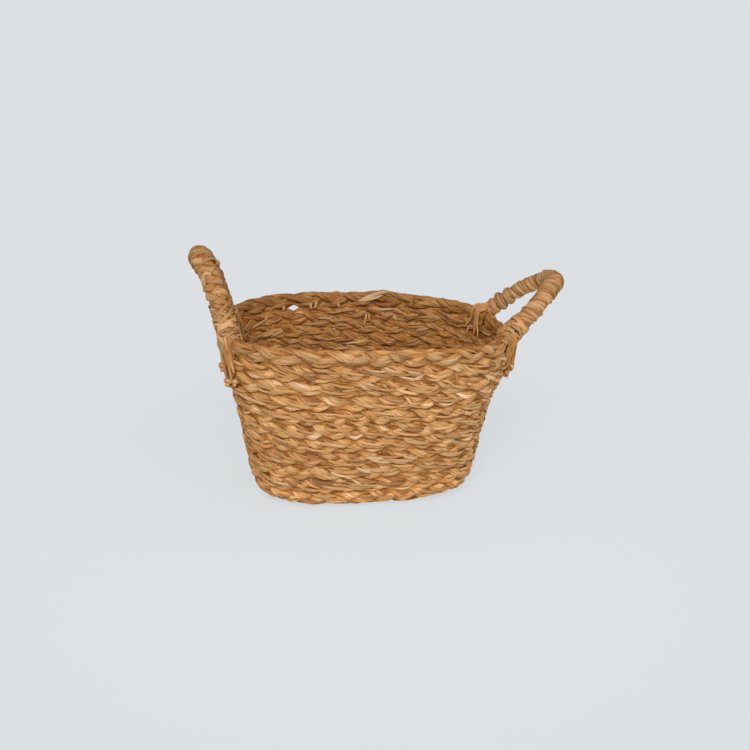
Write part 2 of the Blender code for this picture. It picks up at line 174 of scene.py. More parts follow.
class Track:
    """A line of plait on the fabric, known by the length along it."""

    def __init__(self, first, last, edges, direction):
        self.edges, self.direction = edges, direction
        self.progress = np.linspace(first, last, int((last - first) * TRACK_ROWS_PER_TURN) + 2)
        low, high = edges(self.progress)
        self.lengths = lengths_along(fabric((low + high) / 2, direction + TAU * self.progress))
        self.length = self.lengths[-1]

    def length_at(self, progress):
        return np.interp(progress, self.progress, self.lengths)

    def progress_at(self, along):
        return np.interp(along, self.lengths, self.progress)

    def place(self, along, across, lift):
        """Point, up, outward and half the plait's width, for shares across and a lift in metres."""
        progress = self.progress_at(along)
        low, high = self.edges(progress)
        angle = self.direction + TAU * progress
        half = (high - low) / 2
        point, up, outward, pitch = fabric_axes((low + high) / 2 + across * half, angle)
        return point + outward * lift[..., None], up, outward, half * pitch


def spiral_edges(progress):
    turn = np.floor(progress)
    start = turn + smooth((progress - turn - 1.0 + CLIMB_SHARE) / CLIMB_SHARE)
    return np.maximum(start, 0.0), np.minimum(start + 1.0, RIM_TURN)


def rim_edges(progress):
    return np.full_like(progress, RIM_TURN), np.full_like(progress, RIM_TURN + 1.0)


class StraightTrack:
    """The first run, flat on the ground under the middle of the base."""

    def __init__(self):
        self.length = 2 * float(fabric(np.array(0.0), np.array(0.0))[0])
        self.half = float(fabric(np.array(0.0), np.array(math.pi / 2))[1])

    def progress_at(self, along):
        return np.zeros_like(along)

    def place(self, along, across, lift):
        ones = np.ones_like(along)
        point = np.stack([along - self.length / 2, -across * self.half, HALF_PLAIT - lift], axis=-1)
        up = np.stack([0 * ones, -ones, 0 * ones], axis=-1)
        return point, up, np.stack([0 * ones, 0 * ones, -ones], axis=-1), self.half * ones


# The gap between the rim and the top course that the photograph shows at the back

GAP_TURN, GAP_DIRECTION = 15.02, math.radians(115.8)
GAP_HALF_LENGTH, GAP_HALF_HEIGHT, GAP_HALF_DEPTH, GAP_NEAR = 0.0074, 0.0034, 0.012, 0.006
GAP_PLACE, GAP_UP, GAP_OUT, _ = fabric_axes(np.array(GAP_TURN), np.array(GAP_DIRECTION))
GAP_ALONG = np.cross(GAP_UP, GAP_OUT)


def clear_gap(points, half_width):
    """Moves a leaf aside where it would close the gap."""
    apart = points - GAP_PLACE
    along, high, deep = apart @ GAP_ALONG, apart @ GAP_UP, apart @ GAP_OUT
    near = np.exp(-((along / GAP_NEAR) ** 2) - (high / GAP_NEAR) ** 2 - (deep / GAP_HALF_DEPTH) ** 2)
    if near.max() < 0.02:
        return points
    way = 1.0 if (near * high).sum() > 0.0 else -1.0
    arch = np.clip(1.0 - (along / GAP_HALF_LENGTH) ** 2, 0.0, 1.0)
    room = GAP_HALF_HEIGHT * arch + 0.9 * half_width * np.sqrt(arch)
    shift = np.maximum(room - way * high, 0.0) * smooth((0.009 - np.abs(high)) / 0.004) * (arch > 0.0)
    shift = shift * (np.abs(deep) < GAP_HALF_DEPTH)
    return points + np.multiply.outer(way * shift, GAP_UP)


# Leaves gathered into one mesh

SECTION_POINTS = 8
# Painted shade: how much darker a leaf is along its borders
BORDER_SHADE = 0.27
# Painted shade is a warmer brown where it darkens a leaf, and paler where it lightens one: its power in
# red, green and blue
MIDDLE_SHADE, SHADE_POWERS = 0.86, np.array((0.75, 1.35, 2.9))
# Every leaf has its own place in the pattern of fibres and blotches, up to this far in
PATTERN_SPAN = 50.0


def leaf_section(crease):
    """A flattened round with a groove along the middle of each face."""
    angle = TAU * (np.arange(SECTION_POINTS) + 0.5) / SECTION_POINTS
    wide = np.sign(np.cos(angle)) * np.abs(np.cos(angle)) ** 0.8
    high = np.sign(np.sin(angle)) * np.abs(np.sin(angle)) ** 0.8
    return wide, high * (1.0 - crease * (1.0 - wide**2) ** 2)


class Sheaf:
    """Collects leaves and turns them into one piece."""

    def __init__(self):
        self.points, self.faces, self.smooth, self.fibres, self.tints = [], [], [], [], []
        self.count = 0

    def add(
        self, points, normals, half_width, half_thick, tint, seed, crease, start=0.0, shades=1.0,
        border=BORDER_SHADE,
    ):
        """A leaf along points, faces towards the normals. Widths, tint and painted shades may change along
        it.
        """
        count = len(points)
        ahead = unit(np.gradient(points, axis=0))
        side = unit(np.cross(ahead, normals))
        normal = np.cross(side, ahead)
        wide, high = leaf_section(crease)
        half_width = np.broadcast_to(half_width, (count,))
        half_thick = np.broadcast_to(half_thick, (count,))
        across = half_width[:, None] * wide
        rise = half_thick[:, None] * high
        rings = points[:, None] + side[:, None] * across[..., None] + normal[:, None] * rise[..., None]
        along = np.broadcast_to((lengths_along(points) + start)[:, None], across.shape)
        fibre = np.stack([along, across, np.full(across.shape, seed)], axis=-1)
        index = self.count + np.arange(count * SECTION_POINTS).reshape(count, SECTION_POINTS)
        after = np.roll(index, -1, axis=1)
        quads = np.stack([index[:-1], index[1:], after[1:], after[:-1]], axis=-1).reshape(-1, 4)
        self.faces += quads.tolist() + [index[0].tolist(), index[-1][::-1].tolist()]
        self.smooth += [True] * len(quads) + [False, False]
        self.points.append(rings.reshape(-1, 3))
        self.fibres.append(fibre.reshape(-1, 3))
        # The shades and the darker borders are painted shade
        lit = np.broadcast_to(shades, (count,))[:, None] * (1.0 - border * np.abs(wide) ** 5)
        lit = MIDDLE_SHADE * (lit[..., None] / MIDDLE_SHADE) ** SHADE_POWERS
        colours = np.ones((count, SECTION_POINTS, 4))
        colours[..., :3] = np.clip(lit * np.reshape(tint, (-1, 1, 3)), 0.0, 1.0)
        self.tints.append(colours.reshape(-1, 4))
        self.count += count * SECTION_POINTS

    def make(self, name, finish, body=None, nodes=(), floor=None):
        """The piece. What would lie under the floor is pressed flat on it."""
        points = np.concatenate(self.points)
        if floor is not None:
            points[:, 2] = np.maximum(points[:, 2], floor)
        mesh = bpy.data.meshes.new(name)
        mesh.from_pydata(points.tolist(), [], self.faces)
        fibre = mesh.attributes.new("fibre", "FLOAT_VECTOR", "POINT")
        fibre.data.foreach_set("vector", np.concatenate(self.fibres).ravel())
        # The tint holds each leaf's colour with its painted light and shade
        tint = mesh.attributes.new("tint", "FLOAT_COLOR", "POINT")
        tint.data.foreach_set("color", np.concatenate(self.tints).ravel())
        mesh.materials.append(finish)
        mesh.polygons.foreach_set("use_smooth", self.smooth)
        piece = bpy.data.objects.new(name, mesh)
        bpy.context.scene.collection.objects.link(piece)
        if body:
            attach(piece, body)
        if nodes:
            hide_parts(*nodes)
        return piece


# Colours of dry leaf, and the painted light and shade on them

LEAF_TINTS = np.array([
    (0.570, 0.274, 0.084),
    (0.630, 0.334, 0.118),
    (0.515, 0.234, 0.068),
    (0.570, 0.281, 0.098),
    (0.530, 0.296, 0.102),
    (0.690, 0.414, 0.190),
    (0.370, 0.152, 0.042),
])
TINT_SHARES = np.array([0.33, 0.23, 0.20, 0.04, 0.06, 0.08, 0.06])
# Underlay leaves are darker to this share: a painted shade in the gaps between strands
UNDERLAY_SHADE = 0.66
# Shares of red, green and blue that leaves gain on a plait's inner face as painted light, and lose at the
# basket's left end as painted shade
INSIDE_PAINTED_LIGHT, LEFT_PAINTED_SHADE = np.array((0.0, 0.11, 0.48)), np.array((0.02, 0.08, 0.20))


def leaf_tint(dice, shade=1.0, palest=1.0):
    """The colour of a leaf. With palest below 1 the pale leaves are darkened by that share."""
    tint = LEAF_TINTS[dice.choice(len(LEAF_TINTS), p=TINT_SHARES)]
    tint = tint * (palest if tint[1] > 0.4 else 1.0)
    return tint * dice.uniform(0.86, 1.12) * shade


def leaf_look(dice, shade=1.0, palest=1.0):
    """The colour of a leaf and its place in the pattern."""
    return leaf_tint(dice, shade, palest), dice.uniform(0.0, PATTERN_SPAN)


# Plaits

# The way between a leaf's sections, and the one over which a strand's direction is measured
STATION_STEP, DIRECTION_STEP = 0.0028, 0.0004
# How straight a strand runs from edge to edge, the half width at which a plait is full, the length of a
# leaf's tip, and the shortest stretch of a leaf that is worth making
STRAIGHTNESS, FULL_HALF_WIDTH, TIP_LENGTH, SHORTEST_STRETCH = 0.90, 0.0073, 0.012, 0.004


class Plait:
    """Three slightly twisted strands of leaf, each crossing over to the middle from the edge it came round.

    The period is a function of the progress in turns, and the leaves' painted light and shade one of that
    and of x."""

    def __init__(self, track, seed, period, depth, reach, strand, half_thick, shade):
        self.track, self.depth, self.reach = track, depth, reach
        self.leaves, self.half_strand, self.high_strand, self.half_leaf, self.twist_pitch = strand
        self.half_thick, self.shade = half_thick, shade
        dice = np.random.default_rng(seed)
        along = np.linspace(0.0, track.length, int(track.length / 0.002) + 2)
        uneven = 1.0 + 0.15 * Wander(dice, 0.16)(along)
        pace = TAU / (period(track.progress_at(along)) * uneven)
        turned = np.concatenate([[0.0], np.cumsum((pace[1:] + pace[:-1]) / 2 * np.diff(along))])
        self.phase_table = along, turned
        self.wobbles = [[Wander(dice, wave) for wave in (0.055, 0.048, 0.070, 0.050)] for _ in range(3)]
        self.runs = []
        for strand in range(3):
            for leaf in range(self.leaves):
                self.runs += self.make_runs(dice, strand, leaf)

    def make_runs(self, dice, strand, leaf):
        """Where leaves of this strand follow one another, and what each is like."""
        place = TAU * (leaf + dice.uniform(-0.2, 0.2)) / self.leaves
        runs, start = [], -dice.uniform(0.0, 0.2)
        while start < self.track.length:
            end = start + dice.uniform(0.11, 0.32)
            runs.append({
                "strand": strand,
                "place": place,
                "start": start,
                "end": end + TIP_LENGTH,
                "width": self.half_leaf * dice.uniform(0.78, 1.25),
                "thick": self.half_thick * dice.uniform(0.75, 1.25),
                "tint": leaf_tint(dice),
                "seed": dice.uniform(0.0, PATTERN_SPAN),
                "crease": dice.uniform(0.0, 0.55),
                "tilt": dice.uniform(-0.25, 0.25),
                "ways": [Wander(dice, wave) for wave in (0.026, 0.020, 0.024, 0.030)],
            })
            start = end
        return runs

    def strand_line(self, along, strand):
        """Point, up and outward of a strand's middle, its phase, size and height in the plait."""
        sway, heave, lag, press = self.wobbles[strand]
        phase = np.interp(along, *self.phase_table) + TAU * strand / 3 + 0.26 * lag(along)
        bent = np.arcsin(STRAIGHTNESS * np.sin(phase)) / math.asin(STRAIGHTNESS)
        across = self.reach * bent * (1.0 + 0.18 * sway(along)) + 0.10 * press(along)
        level = -np.sin(2 * phase) * (1.0 + 0.16 * heave(along))
        half = self.track.place(along, 0 * along, 0 * along)[3]
        size = np.clip(half / FULL_HALF_WIDTH, 0.15, 1.1)
        point, up, outward, _ = self.track.place(along, across, self.depth * level * size)
        return point, up, outward, phase, size, level

    def add_leaf(self, sheaf, run, start, end, coarse):
        """The stretch of a leaf from start to end, turned over with its strand at the plait's edges."""
        low, high = max(run["start"], start), min(run["end"], end)
        if high - low < SHORTEST_STRETCH:
            return
        along = np.linspace(low, high, max(int(round((high - low) / (coarse * STATION_STEP))), 3) + 1)
        point, up, outward, phase, size, level = self.strand_line(along, run["strand"])
        behind = self.strand_line(along - DIRECTION_STEP, run["strand"])[0]
        before = self.strand_line(along + DIRECTION_STEP, run["strand"])[0]
        ahead = unit(before - behind)
        quarter = phase / math.pi - 0.5
        nearest = np.round(quarter)
        step = 0.5 * np.sin(math.pi / 2 * np.clip((quarter - nearest) / 0.40, -1.0, 1.0))
        roll = math.pi / 2 - math.pi * (nearest + step)
        normal = outward * np.cos(roll)[:, None] + up * np.sin(roll)[:, None]
        side = unit(np.cross(ahead, normal))
        normal = np.cross(side, ahead)
        at_edge = np.exp(-(((quarter - nearest) / 0.16) ** 2))
        breadth, rise, turn, drift = (way(along) for way in run["ways"])
        around = run["place"] - TAU * along / self.twist_pitch + 0.35 * drift
        shift = self.half_strand * np.cos(around) * (1.0 - 0.60 * at_edge)
        crown = self.high_strand * np.sin(around) + 0.00025 * rise
        point = point + side * (shift * size)[:, None] + normal * (crown * size)[:, None]
        tilt = np.arctan2(self.high_strand * np.cos(around), self.half_strand * np.sin(around))
        tilt = tilt + run["tilt"] + 0.25 * turn
        normal = normal * np.cos(tilt)[:, None] + side * np.sin(tilt)[:, None]
        tip = np.minimum(along - run["start"], run["end"] - along) / TIP_LENGTH
        width = run["width"] * (1.0 + 0.18 * breadth) * (1.0 - 0.36 * at_edge) * size
        thick = run["thick"] * (0.45 + 0.55 * smooth(tip)) * np.sqrt(size)
        point = clear_gap(point, width)
        width = width * (0.12 + 0.88 * smooth(tip))
        # Painted light and shade: a strand is lighter where it lies over, and darker where under or at the
        # plait's edges
        shades = 0.64 + 0.38 * smooth((level + 1.0) / 2) - 0.10 * at_edge
        # Painted light on the plait's inner face, which takes back the painted shade of strands that lie
        # under
        inside = smooth((0.2 - level) / 0.8)
        tint = run["tint"] * (1.0 + np.outer(inside, INSIDE_PAINTED_LIGHT))
        tint = tint * self.shade(self.track.progress_at(along), point[:, 0])
        sheaf.add(point, normal, width, thick, tint, run["seed"], run["crease"], low, shades)

    def add_underlay(self, sheaf, dice, across, start, end):
        """Leaves darkened by painted shade at this share across: behind the strands, or along an edge,
        where it is sewn.
        """
        low = start
        while low < end:
            high = min(low + dice.uniform(0.05, 0.12), end)
            along = np.linspace(low, high, max(int((high - low) / 0.005), 3) + 1)
            for beside in (-0.0017, 0.0017):
                sway, heave, roll = (Wander(dice, wave) for wave in (0.022, 0.020, 0.018))
                lift = 0.0007 * heave(along) + dice.uniform(-0.0004, 0.0004)
                point, up, outward, _ = self.track.place(along, across + 0.05 * sway(along), lift)
                point = point + up * (beside + 0.0005 * roll(along))[:, None]
                normal = outward + up * (0.45 * roll(along))[:, None]
                point = clear_gap(point, 0.0022)
                half_width = dice.uniform(0.0019, 0.0025)
                # Painted shade on the underlay
                shade = UNDERLAY_SHADE * dice.uniform(0.85, 1.2)
                tint, seed = leaf_look(dice)
                sheaf.add(point, unit(normal), half_width, 0.0007, tint, seed, 0.3, low, shade)
            low = high - 0.004 if high < end else end

    def add_to(self, sheaf, start, end, coarse=1.0):
        """All strands from start to end, with sections so much further apart than usual."""
        for run in self.runs:
            self.add_leaf(sheaf, run, start, end, coarse)


# Shader nodes by plain sums


class Signal:
    """A socket of a shader node. Sums with it add Math nodes."""

    def __init__(self, socket):
        self.socket = socket

    def maths(self, operation, first, second=0.0):
        node = self.socket.id_data.nodes.new("ShaderNodeMath")
        node.operation = operation
        for slot, value in zip(node.inputs, (first, second)):
            connect(slot, value)
        return Signal(node.outputs[0])

    def __add__(self, other):
        return self.maths("ADD", self, other)

    def __sub__(self, other):
        return self.maths("SUBTRACT", self, other)

    def __rsub__(self, other):
        return self.maths("SUBTRACT", other, self)

    def __mul__(self, other):
        return self.maths("MULTIPLY", self, other)

    __radd__ = __add__
    __rmul__ = __mul__


def connect(slot, value):
    if isinstance(value, Signal):
        slot.id_data.links.new(value.socket, slot)
    else:
        slot.default_value = value


class Finish:
    """A material under construction."""

    def __init__(self, name):
        self.material = bpy.data.materials.new(name)
        self.material.use_nodes = True
        self.tree = self.material.node_tree
        self.shader = self.tree.nodes["Principled BSDF"]

    def node(self, kind, settings=None, sockets=None, output=0):
        made = self.tree.nodes.new(kind)
        for name, value in (settings or {}).items():
            setattr(made, name, value)
        for name, value in (sockets or {}).items():
            connect(made.inputs[name], value)
        return Signal(made.outputs[output])

    def set(self, **sockets):
        for name, value in sockets.items():
            connect(self.shader.inputs[name.replace("_", " ")], value)
        return self.material


def drawn_noise(finish, place, scale, detail):
    """Noise drawn out along the leaf, so fine along it, across it and from leaf to leaf."""
    drawn = finish.node("ShaderNodeMapping", {"vector_type": "POINT"}, {"Vector": place, "Scale": scale})
    return finish.node("ShaderNodeTexNoise", None, {"Vector": drawn, "Scale": 1.0, "Detail": detail}, "Fac")


def leaf_finish(name, deep, roughness):
    """Dry leaf: each leaf's tint with its painted light and shade, fibres along it, blotches, and darker
    creases, partly grain and partly painted shade
    """
    finish = Finish(name)
    tint = finish.node("ShaderNodeAttribute", {"attribute_name": "tint"}, output="Color")
    place = finish.node("ShaderNodeAttribute", {"attribute_name": "fibre"}, output="Vector")
    fibres = drawn_noise(finish, place, (60.0, 1300.0, 1.0), 3.0)
    blotches = drawn_noise(finish, place, (45.0, 260.0, 1.0), 2.0)
    light = 0.55 + fibres * 0.45 + blotches * 0.45
    grey = finish.node("ShaderNodeCombineColor", None, {0: light, 1: light, 2: light})
    multiplied = {"data_type": "RGBA", "blend_type": "MULTIPLY"}
    shade = finish.node("ShaderNodeMix", multiplied, {0: 1.0, 6: tint, 7: grey}, 2)
    # The creases darken the grooves of the fibre relief: the leaf's grain, and painted shade in the grooves
    creases = {"Value": fibres, "From Min": 0.30, "From Max": 0.44, "To Min": 0.5, "To Max": 0.0}
    streak = finish.node("ShaderNodeMapRange", None, creases)
    creased = finish.node("ShaderNodeMix", {"data_type": "RGBA"}, {0: streak, 6: shade, 7: deep}, 2)
    relief = {"Height": fibres * 0.7 + blotches * 0.8, "Distance": 0.0007, "Strength": 0.55}
    return finish.set(
        Base_Color=creased,
        Roughness=roughness - blotches * 0.16,
        Normal=finish.node("ShaderNodeBump", None, relief, "Normal"),
        Specular_IOR_Level=0.35,
    )


WALL_LEAF = leaf_finish("wall_leaf", (0.24, 0.11, 0.035, 1.0), 0.66)
RIM_LEAF = leaf_finish("rim_leaf", (0.26, 0.12, 0.040, 1.0), 0.64)
BASE_LEAF = leaf_finish("base_leaf", (0.20, 0.09, 0.030, 1.0), 0.70)
HANDLE_LEAF = leaf_finish("handle_leaf", (0.22, 0.10, 0.030, 1.0), 0.62)
LASHING_LEAF = leaf_finish("lashing_leaf", (0.28, 0.14, 0.050, 1.0), 0.62)

# Camera, from a fit to the outline in the photograph

camera_data = bpy.data.cameras.new("photo_camera")
camera_data.lens, camera_data.sensor_width = 45.93, 36.0
camera = bpy.data.objects.new("photo_camera", camera_data)
bpy.context.scene.collection.objects.link(camera)
towards = Vector((0.13297, 0.92358, -0.35960))
turned = towards.to_track_quat("-Z", "Y").to_matrix() @ Matrix.Rotation(0.0127, 3, "Z")
camera.matrix_world = Matrix.Translation((-0.11594, -0.91232, 0.46733)) @ turned.to_4x4()
bpy.context.scene.camera = camera

# The spiral plait: base coil and eleven courses


def wall_period(progress):
    """The plait is made looser towards the rim, and finer on the base."""
    return 0.070 + 0.016 * smooth((progress - 11.5) / 2.5) - 0.012 * smooth((3.0 - progress) / 2.0)


def wall_shade(progress, x):
    """The lowest courses are paler with painted light, as from the pale floor, and the left end is redder
    with painted shade.
    """
    on_wall = smooth((progress - 3.6) / 0.6)
    # Painted light on the lowest courses, as from the pale floor
    low = 1.0 + 0.46 * smooth((7.0 - progress) / 2.6) * on_wall
    # Painted shade at the left end
    left = smooth((-0.070 - x) / 0.06) * on_wall
    return low[:, None] * (1.0 - np.outer(left, LEFT_PAINTED_SHADE))


def even_period(length):
    return lambda progress: np.full_like(progress, length)


def even_shade(shade):
    return lambda progress, x: shade


# Leaves in a strand, how far they lie out from its middle and over it, a leaf's half width, and the
# length of the strand's twist
WALL_STRAND = (5, 0.0029, 0.0009, 0.0020, 0.085)
BASE_STRAND = (4, 0.0020, 0.0007, 0.0019, 0.070)
RIM_STRAND = (6, 0.0029, 0.0013, 0.0022, 0.110)
FLAT_DEPTH, FLAT_REACH = 0.0019, 0.72

spiral_start, spiral_end = -CLIMB_SHARE * COIL_LEAD_SHARE, RIM_TURN - CLIMB_SHARE * TAPER_END_SHARE
spiral = Track(spiral_start, spiral_end, spiral_edges, SEAM_DIRECTION)
wall_plait = Plait(spiral, 11, wall_period, FLAT_DEPTH, FLAT_REACH, WALL_STRAND, 0.0012, wall_shade)
cuts = [spiral.length_at(progress) for progress in range(BASE_TURNS, RIM_TURN)] + [spiral.length]
seam_dice = np.random.default_rng(13)
coil = Sheaf()
wall_plait.add_to(coil, 0.0, cuts[0], 1.25)
wall_plait.add_underlay(coil, seam_dice, 1.0, 0.02, cuts[0])
for across in (-0.5, 0.0, 0.5):
    wall_plait.add_underlay(coil, seam_dice, across, 0.0, cuts[0])
wall_plait.add_underlay(coil, seam_dice, -1.0, 0.0, spiral.length_at(1.0))
coil.make("base_coil_plait", BASE_LEAF, "basket", ["base_coil"], floor=0.0)
for course, (start, end) in enumerate(zip(cuts, cuts[1:]), 1):
    sheaf = Sheaf()
    wall_plait.add_to(sheaf, start, end)
    for across in (-0.5, 0.0, 0.5, 1.0):
        wall_plait.add_underlay(sheaf, seam_dice, across, start, end)
    nodes = [f"wall_course_{course:02d}"]
    sheaf.make(f"course_{course:02d}_plait", WALL_LEAF, "basket", nodes, floor=0.0)

first_run = Sheaf()
run_track = StraightTrack()
run_plait = Plait(
    run_track, 12, even_period(0.054), FLAT_DEPTH, FLAT_REACH, BASE_STRAND, 0.0010, even_shade(1.0)
)
run_plait.add_to(first_run, 0.0, run_track.length)
for across in (-1.0, 0.0, 1.0):
    run_plait.add_underlay(first_run, seam_dice, across, 0.0, run_track.length)
first_run.make("first_run_plait", BASE_LEAF, "basket", ["base_first_run"], floor=0.0)

# The rim plait

RIM_SWELL, DOUBLED_RISE, DOUBLED_DIRECTION = 0.0018, 0.0028, 76.0
DOUBLED_TINT = np.array((0.62, 0.39, 0.18))


class RimTrack(Track):
    """The rim's line. Its top stands higher along the back, most where a leaf is doubled."""

    def place(self, along, across, lift):
        point, up, outward, half = super().place(along, across, lift)
        angle = np.degrees(self.direction + TAU * self.progress_at(along)) % 360.0
        rise = RIM_SWELL * smooth((angle - 55.0) / 15.0) * smooth((150.0 - angle) / 20.0)
        rise = rise + DOUBLED_RISE * np.exp(-(((angle - DOUBLED_DIRECTION) / 5.0) ** 2))
        share = np.clip((across + 0.6) / 1.1, 0.0, 1.4)
        return point + np.multiply.outer(rise * share, (0.0, 0.0, 1.0)), up, outward, half


def add_doubled_leaf(sheaf, turn_aside, high, half_width):
    """Half of the pale leaf that lies doubled along the inside of the back."""
    share = np.linspace(0.0, 1.0, 22)
    direction = np.radians(87.0 - turn_aside - 12.0 * share)
    along = rim_track.length_at((direction - RIM_SEAM_DIRECTION) / TAU % 1.0)
    lift = -0.0046 - 0.0016 * np.sin(math.pi * share) ** 0.5
    point, _, outward, _ = rim_track.place(along, high - 0.25 + 0.5 * share, lift)
    width = half_width * smooth(np.minimum(share, 1.0 - share) / 0.3)
    sheaf.add(point, -outward, width + 0.0002, 0.0009, DOUBLED_TINT, 7.0 + turn_aside, 0.5)


rim_track = RimTrack(0.0, 1.0, rim_edges, RIM_SEAM_DIRECTION)
# The rim's leaves are darkened all over to 0.85, a painted shade against the lamp's strong light on its top
rim_plait = Plait(rim_track, 21, even_period(0.092), 0.0029, 0.57, RIM_STRAND, 0.0014, even_shade(0.85))
rim = Sheaf()
rim_plait.add_to(rim, 0.0, rim_track.length)
for across in (-1.25, -1.0, -0.45, 0.0, 0.45):
    rim_plait.add_underlay(rim, seam_dice, across, 0.0, rim_track.length)
add_doubled_leaf(rim, 0.0, 0.10, 0.0026)
add_doubled_leaf(rim, 2.5, 0.48, 0.0019)
rim.make("rim_plait_strands", RIM_LEAF, "basket", ["rim_plait"])

# Stray leaves, frayed ends and sewing stitches on the wall


def add_stray(sheaf, dice, face):
    """A leaf that comes out of the weave, runs along it and goes under again. Face 1 is the outside."""
    share = np.linspace(0.0, 1.0, 14)
    length = dice.uniform(0.014, 0.034)
    along = dice.uniform(cuts[0], spiral.length - length) + length * share
    high = dice.uniform(0.0, 0.95)
    across = high - dice.uniform(0.2, 1.1) * share**0.7
    lift = face * (0.0010 + dice.uniform(0.0030, 0.0038) * np.sin(math.pi * share) ** 0.5)
    point, _, outward, _ = spiral.place(along, across, lift)
    if np.linalg.norm(point - GAP_PLACE, axis=1).min() < 0.010:
        return
    half_width = dice.uniform(0.0009, 0.0021) * (0.3 + 0.7 * smooth(np.minimum(share, 1.0 - share) / 0.25))
    # Strays on the inside are darker, a painted shade
    tint, seed = leaf_look(dice, dice.uniform(0.85, 1.08) * (1.0 if face > 0 else 0.85))
    sheaf.add(point, outward * face, half_width, 0.0007, tint, seed, dice.uniform(0.0, 0.5))


def add_frayed_end(sheaf, dice, face):
    """A thin end that stands off the wall."""
    share = np.linspace(0.0, 1.0, 9)
    length = dice.uniform(0.005, 0.012)
    along = dice.uniform(cuts[0], spiral.length - length) + length * share * dice.choice([-1.0, 1.0])
    across = dice.uniform(-0.8, 0.8) + dice.uniform(-0.5, 0.5) * share
    lift = face * (0.0026 + dice.uniform(0.0022, 0.0048) * share**1.5)
    point, _, outward, _ = spiral.place(np.clip(along, 0.0, spiral.length), across, lift)
    half_width = dice.uniform(0.0004, 0.0008) * (1.0 - 0.7 * share)
    tint, seed = leaf_look(dice, 1.1)
    sheaf.add(point, outward * face, half_width, 0.0003, tint, seed, 0.1)


def add_stitch(sheaf, dice, turn, angle, face, spread=0.43):
    """A flat leaf sewn across the joint between two courses, of so many turns to each side."""
    share = np.linspace(-1.0, 1.0, 11)
    slant = dice.uniform(-0.012, 0.012)
    turns = turn + spread * dice.uniform(0.9, 1.1) * share
    point, _, outward, _ = fabric_axes(turns, angle + slant * share)
    point = point + outward * (face * (0.0018 + 0.0034 * (1.0 - share**4)))[:, None]
    half_width = dice.uniform(0.0012, 0.0019)
    tint, seed = leaf_look(dice, 0.95)
    sheaf.add(point, outward * face, half_width, 0.0006, tint, seed, 0.3)


loose_dice = np.random.default_rng(17)
for face, label, strays, ends in ((1.0, "outside", 560, 34), (-1.0, "inside", 360, 26)):
    sheaf = Sheaf()
    for _ in range(strays):
        add_stray(sheaf, loose_dice, face)
    for _ in range(ends):
        add_frayed_end(sheaf, loose_dice, face)
    sheaf.make(f"stray_leaves_{label}", WALL_LEAF, "basket", floor=0.0)

# Stitches in ones and twos inside, those that the photograph shows at the back, and a few outside
stitches = Sheaf()
for _ in range(16):
    turn, angle = loose_dice.integers(6, RIM_TURN), loose_dice.uniform(0.0, TAU)
    for step in range(loose_dice.integers(1, 3)):
        add_stitch(stitches, loose_dice, turn, angle + 0.045 * step, -1.0)
for turn, direction, spread in (
    (15.15, 121.0, 0.30), (15.15, 108.3, 0.34), (15.18, 106.0, 0.33),
    (15.20, 95.5, 0.27), (14.05, 83.0, 0.46), (14.20, 81.2, 0.34),
):
    add_stitch(stitches, loose_dice, turn, math.radians(direction), -1.0, spread)
for _ in range(4):
    add_stitch(stitches, loose_dice, loose_dice.integers(6, RIM_TURN), loose_dice.uniform(0.0, TAU), 1.0)
stitches.make("sewing_stitches", LASHING_LEAF, "basket")


# Handles

# How dark handle leaves are, and how much painted shade darkens their borders
HANDLE_SHADE, HANDLE_BORDER_SHADE = np.array((0.79, 0.80, 0.90)), 0.42
# How far in from a handle's ends its winding starts
WINDING_START = 0.003
# The right handle's back leg has beads: their core, and the height up the leg and the bulge of each
BEAD_CORE = 0.0048
BEADS = ((0.0062, 0.0034), (0.0150, 0.0046), (0.0252, 0.0038))
# Pitch, half width, hand, weave, number side by side and half thickness of the leaves wound on a handle
LEFT_BANDS = (
    (0.0280, 0.0036, 1.0, 0.0004, 3, 0.0015),
    (0.0280, 0.0040, -1.0, 0.0005, 3, 0.0019),
)
RIGHT_BANDS = (
    (0.0135, 0.0031, 1.0, 0.0, 3, 0.0010),
    (0.0215, 0.0025, 1.0, 0.0, 2, 0.0009),
    (0.0260, 0.0018, -1.0, 0.0, 1, 0.0007),
)


def rim_angle_at(side, y):
    """The direction from the basket's middle in which the rim at this side has this y."""
    low, high = -math.pi / 2, math.pi / 2
    for _ in range(50):
        middle = (low + high) / 2
        if fabric(RIM_MIDDLE, np.array(middle))[1] < y:
            low = middle
        else:
            high = middle
    return low if side > 0 else math.pi - low


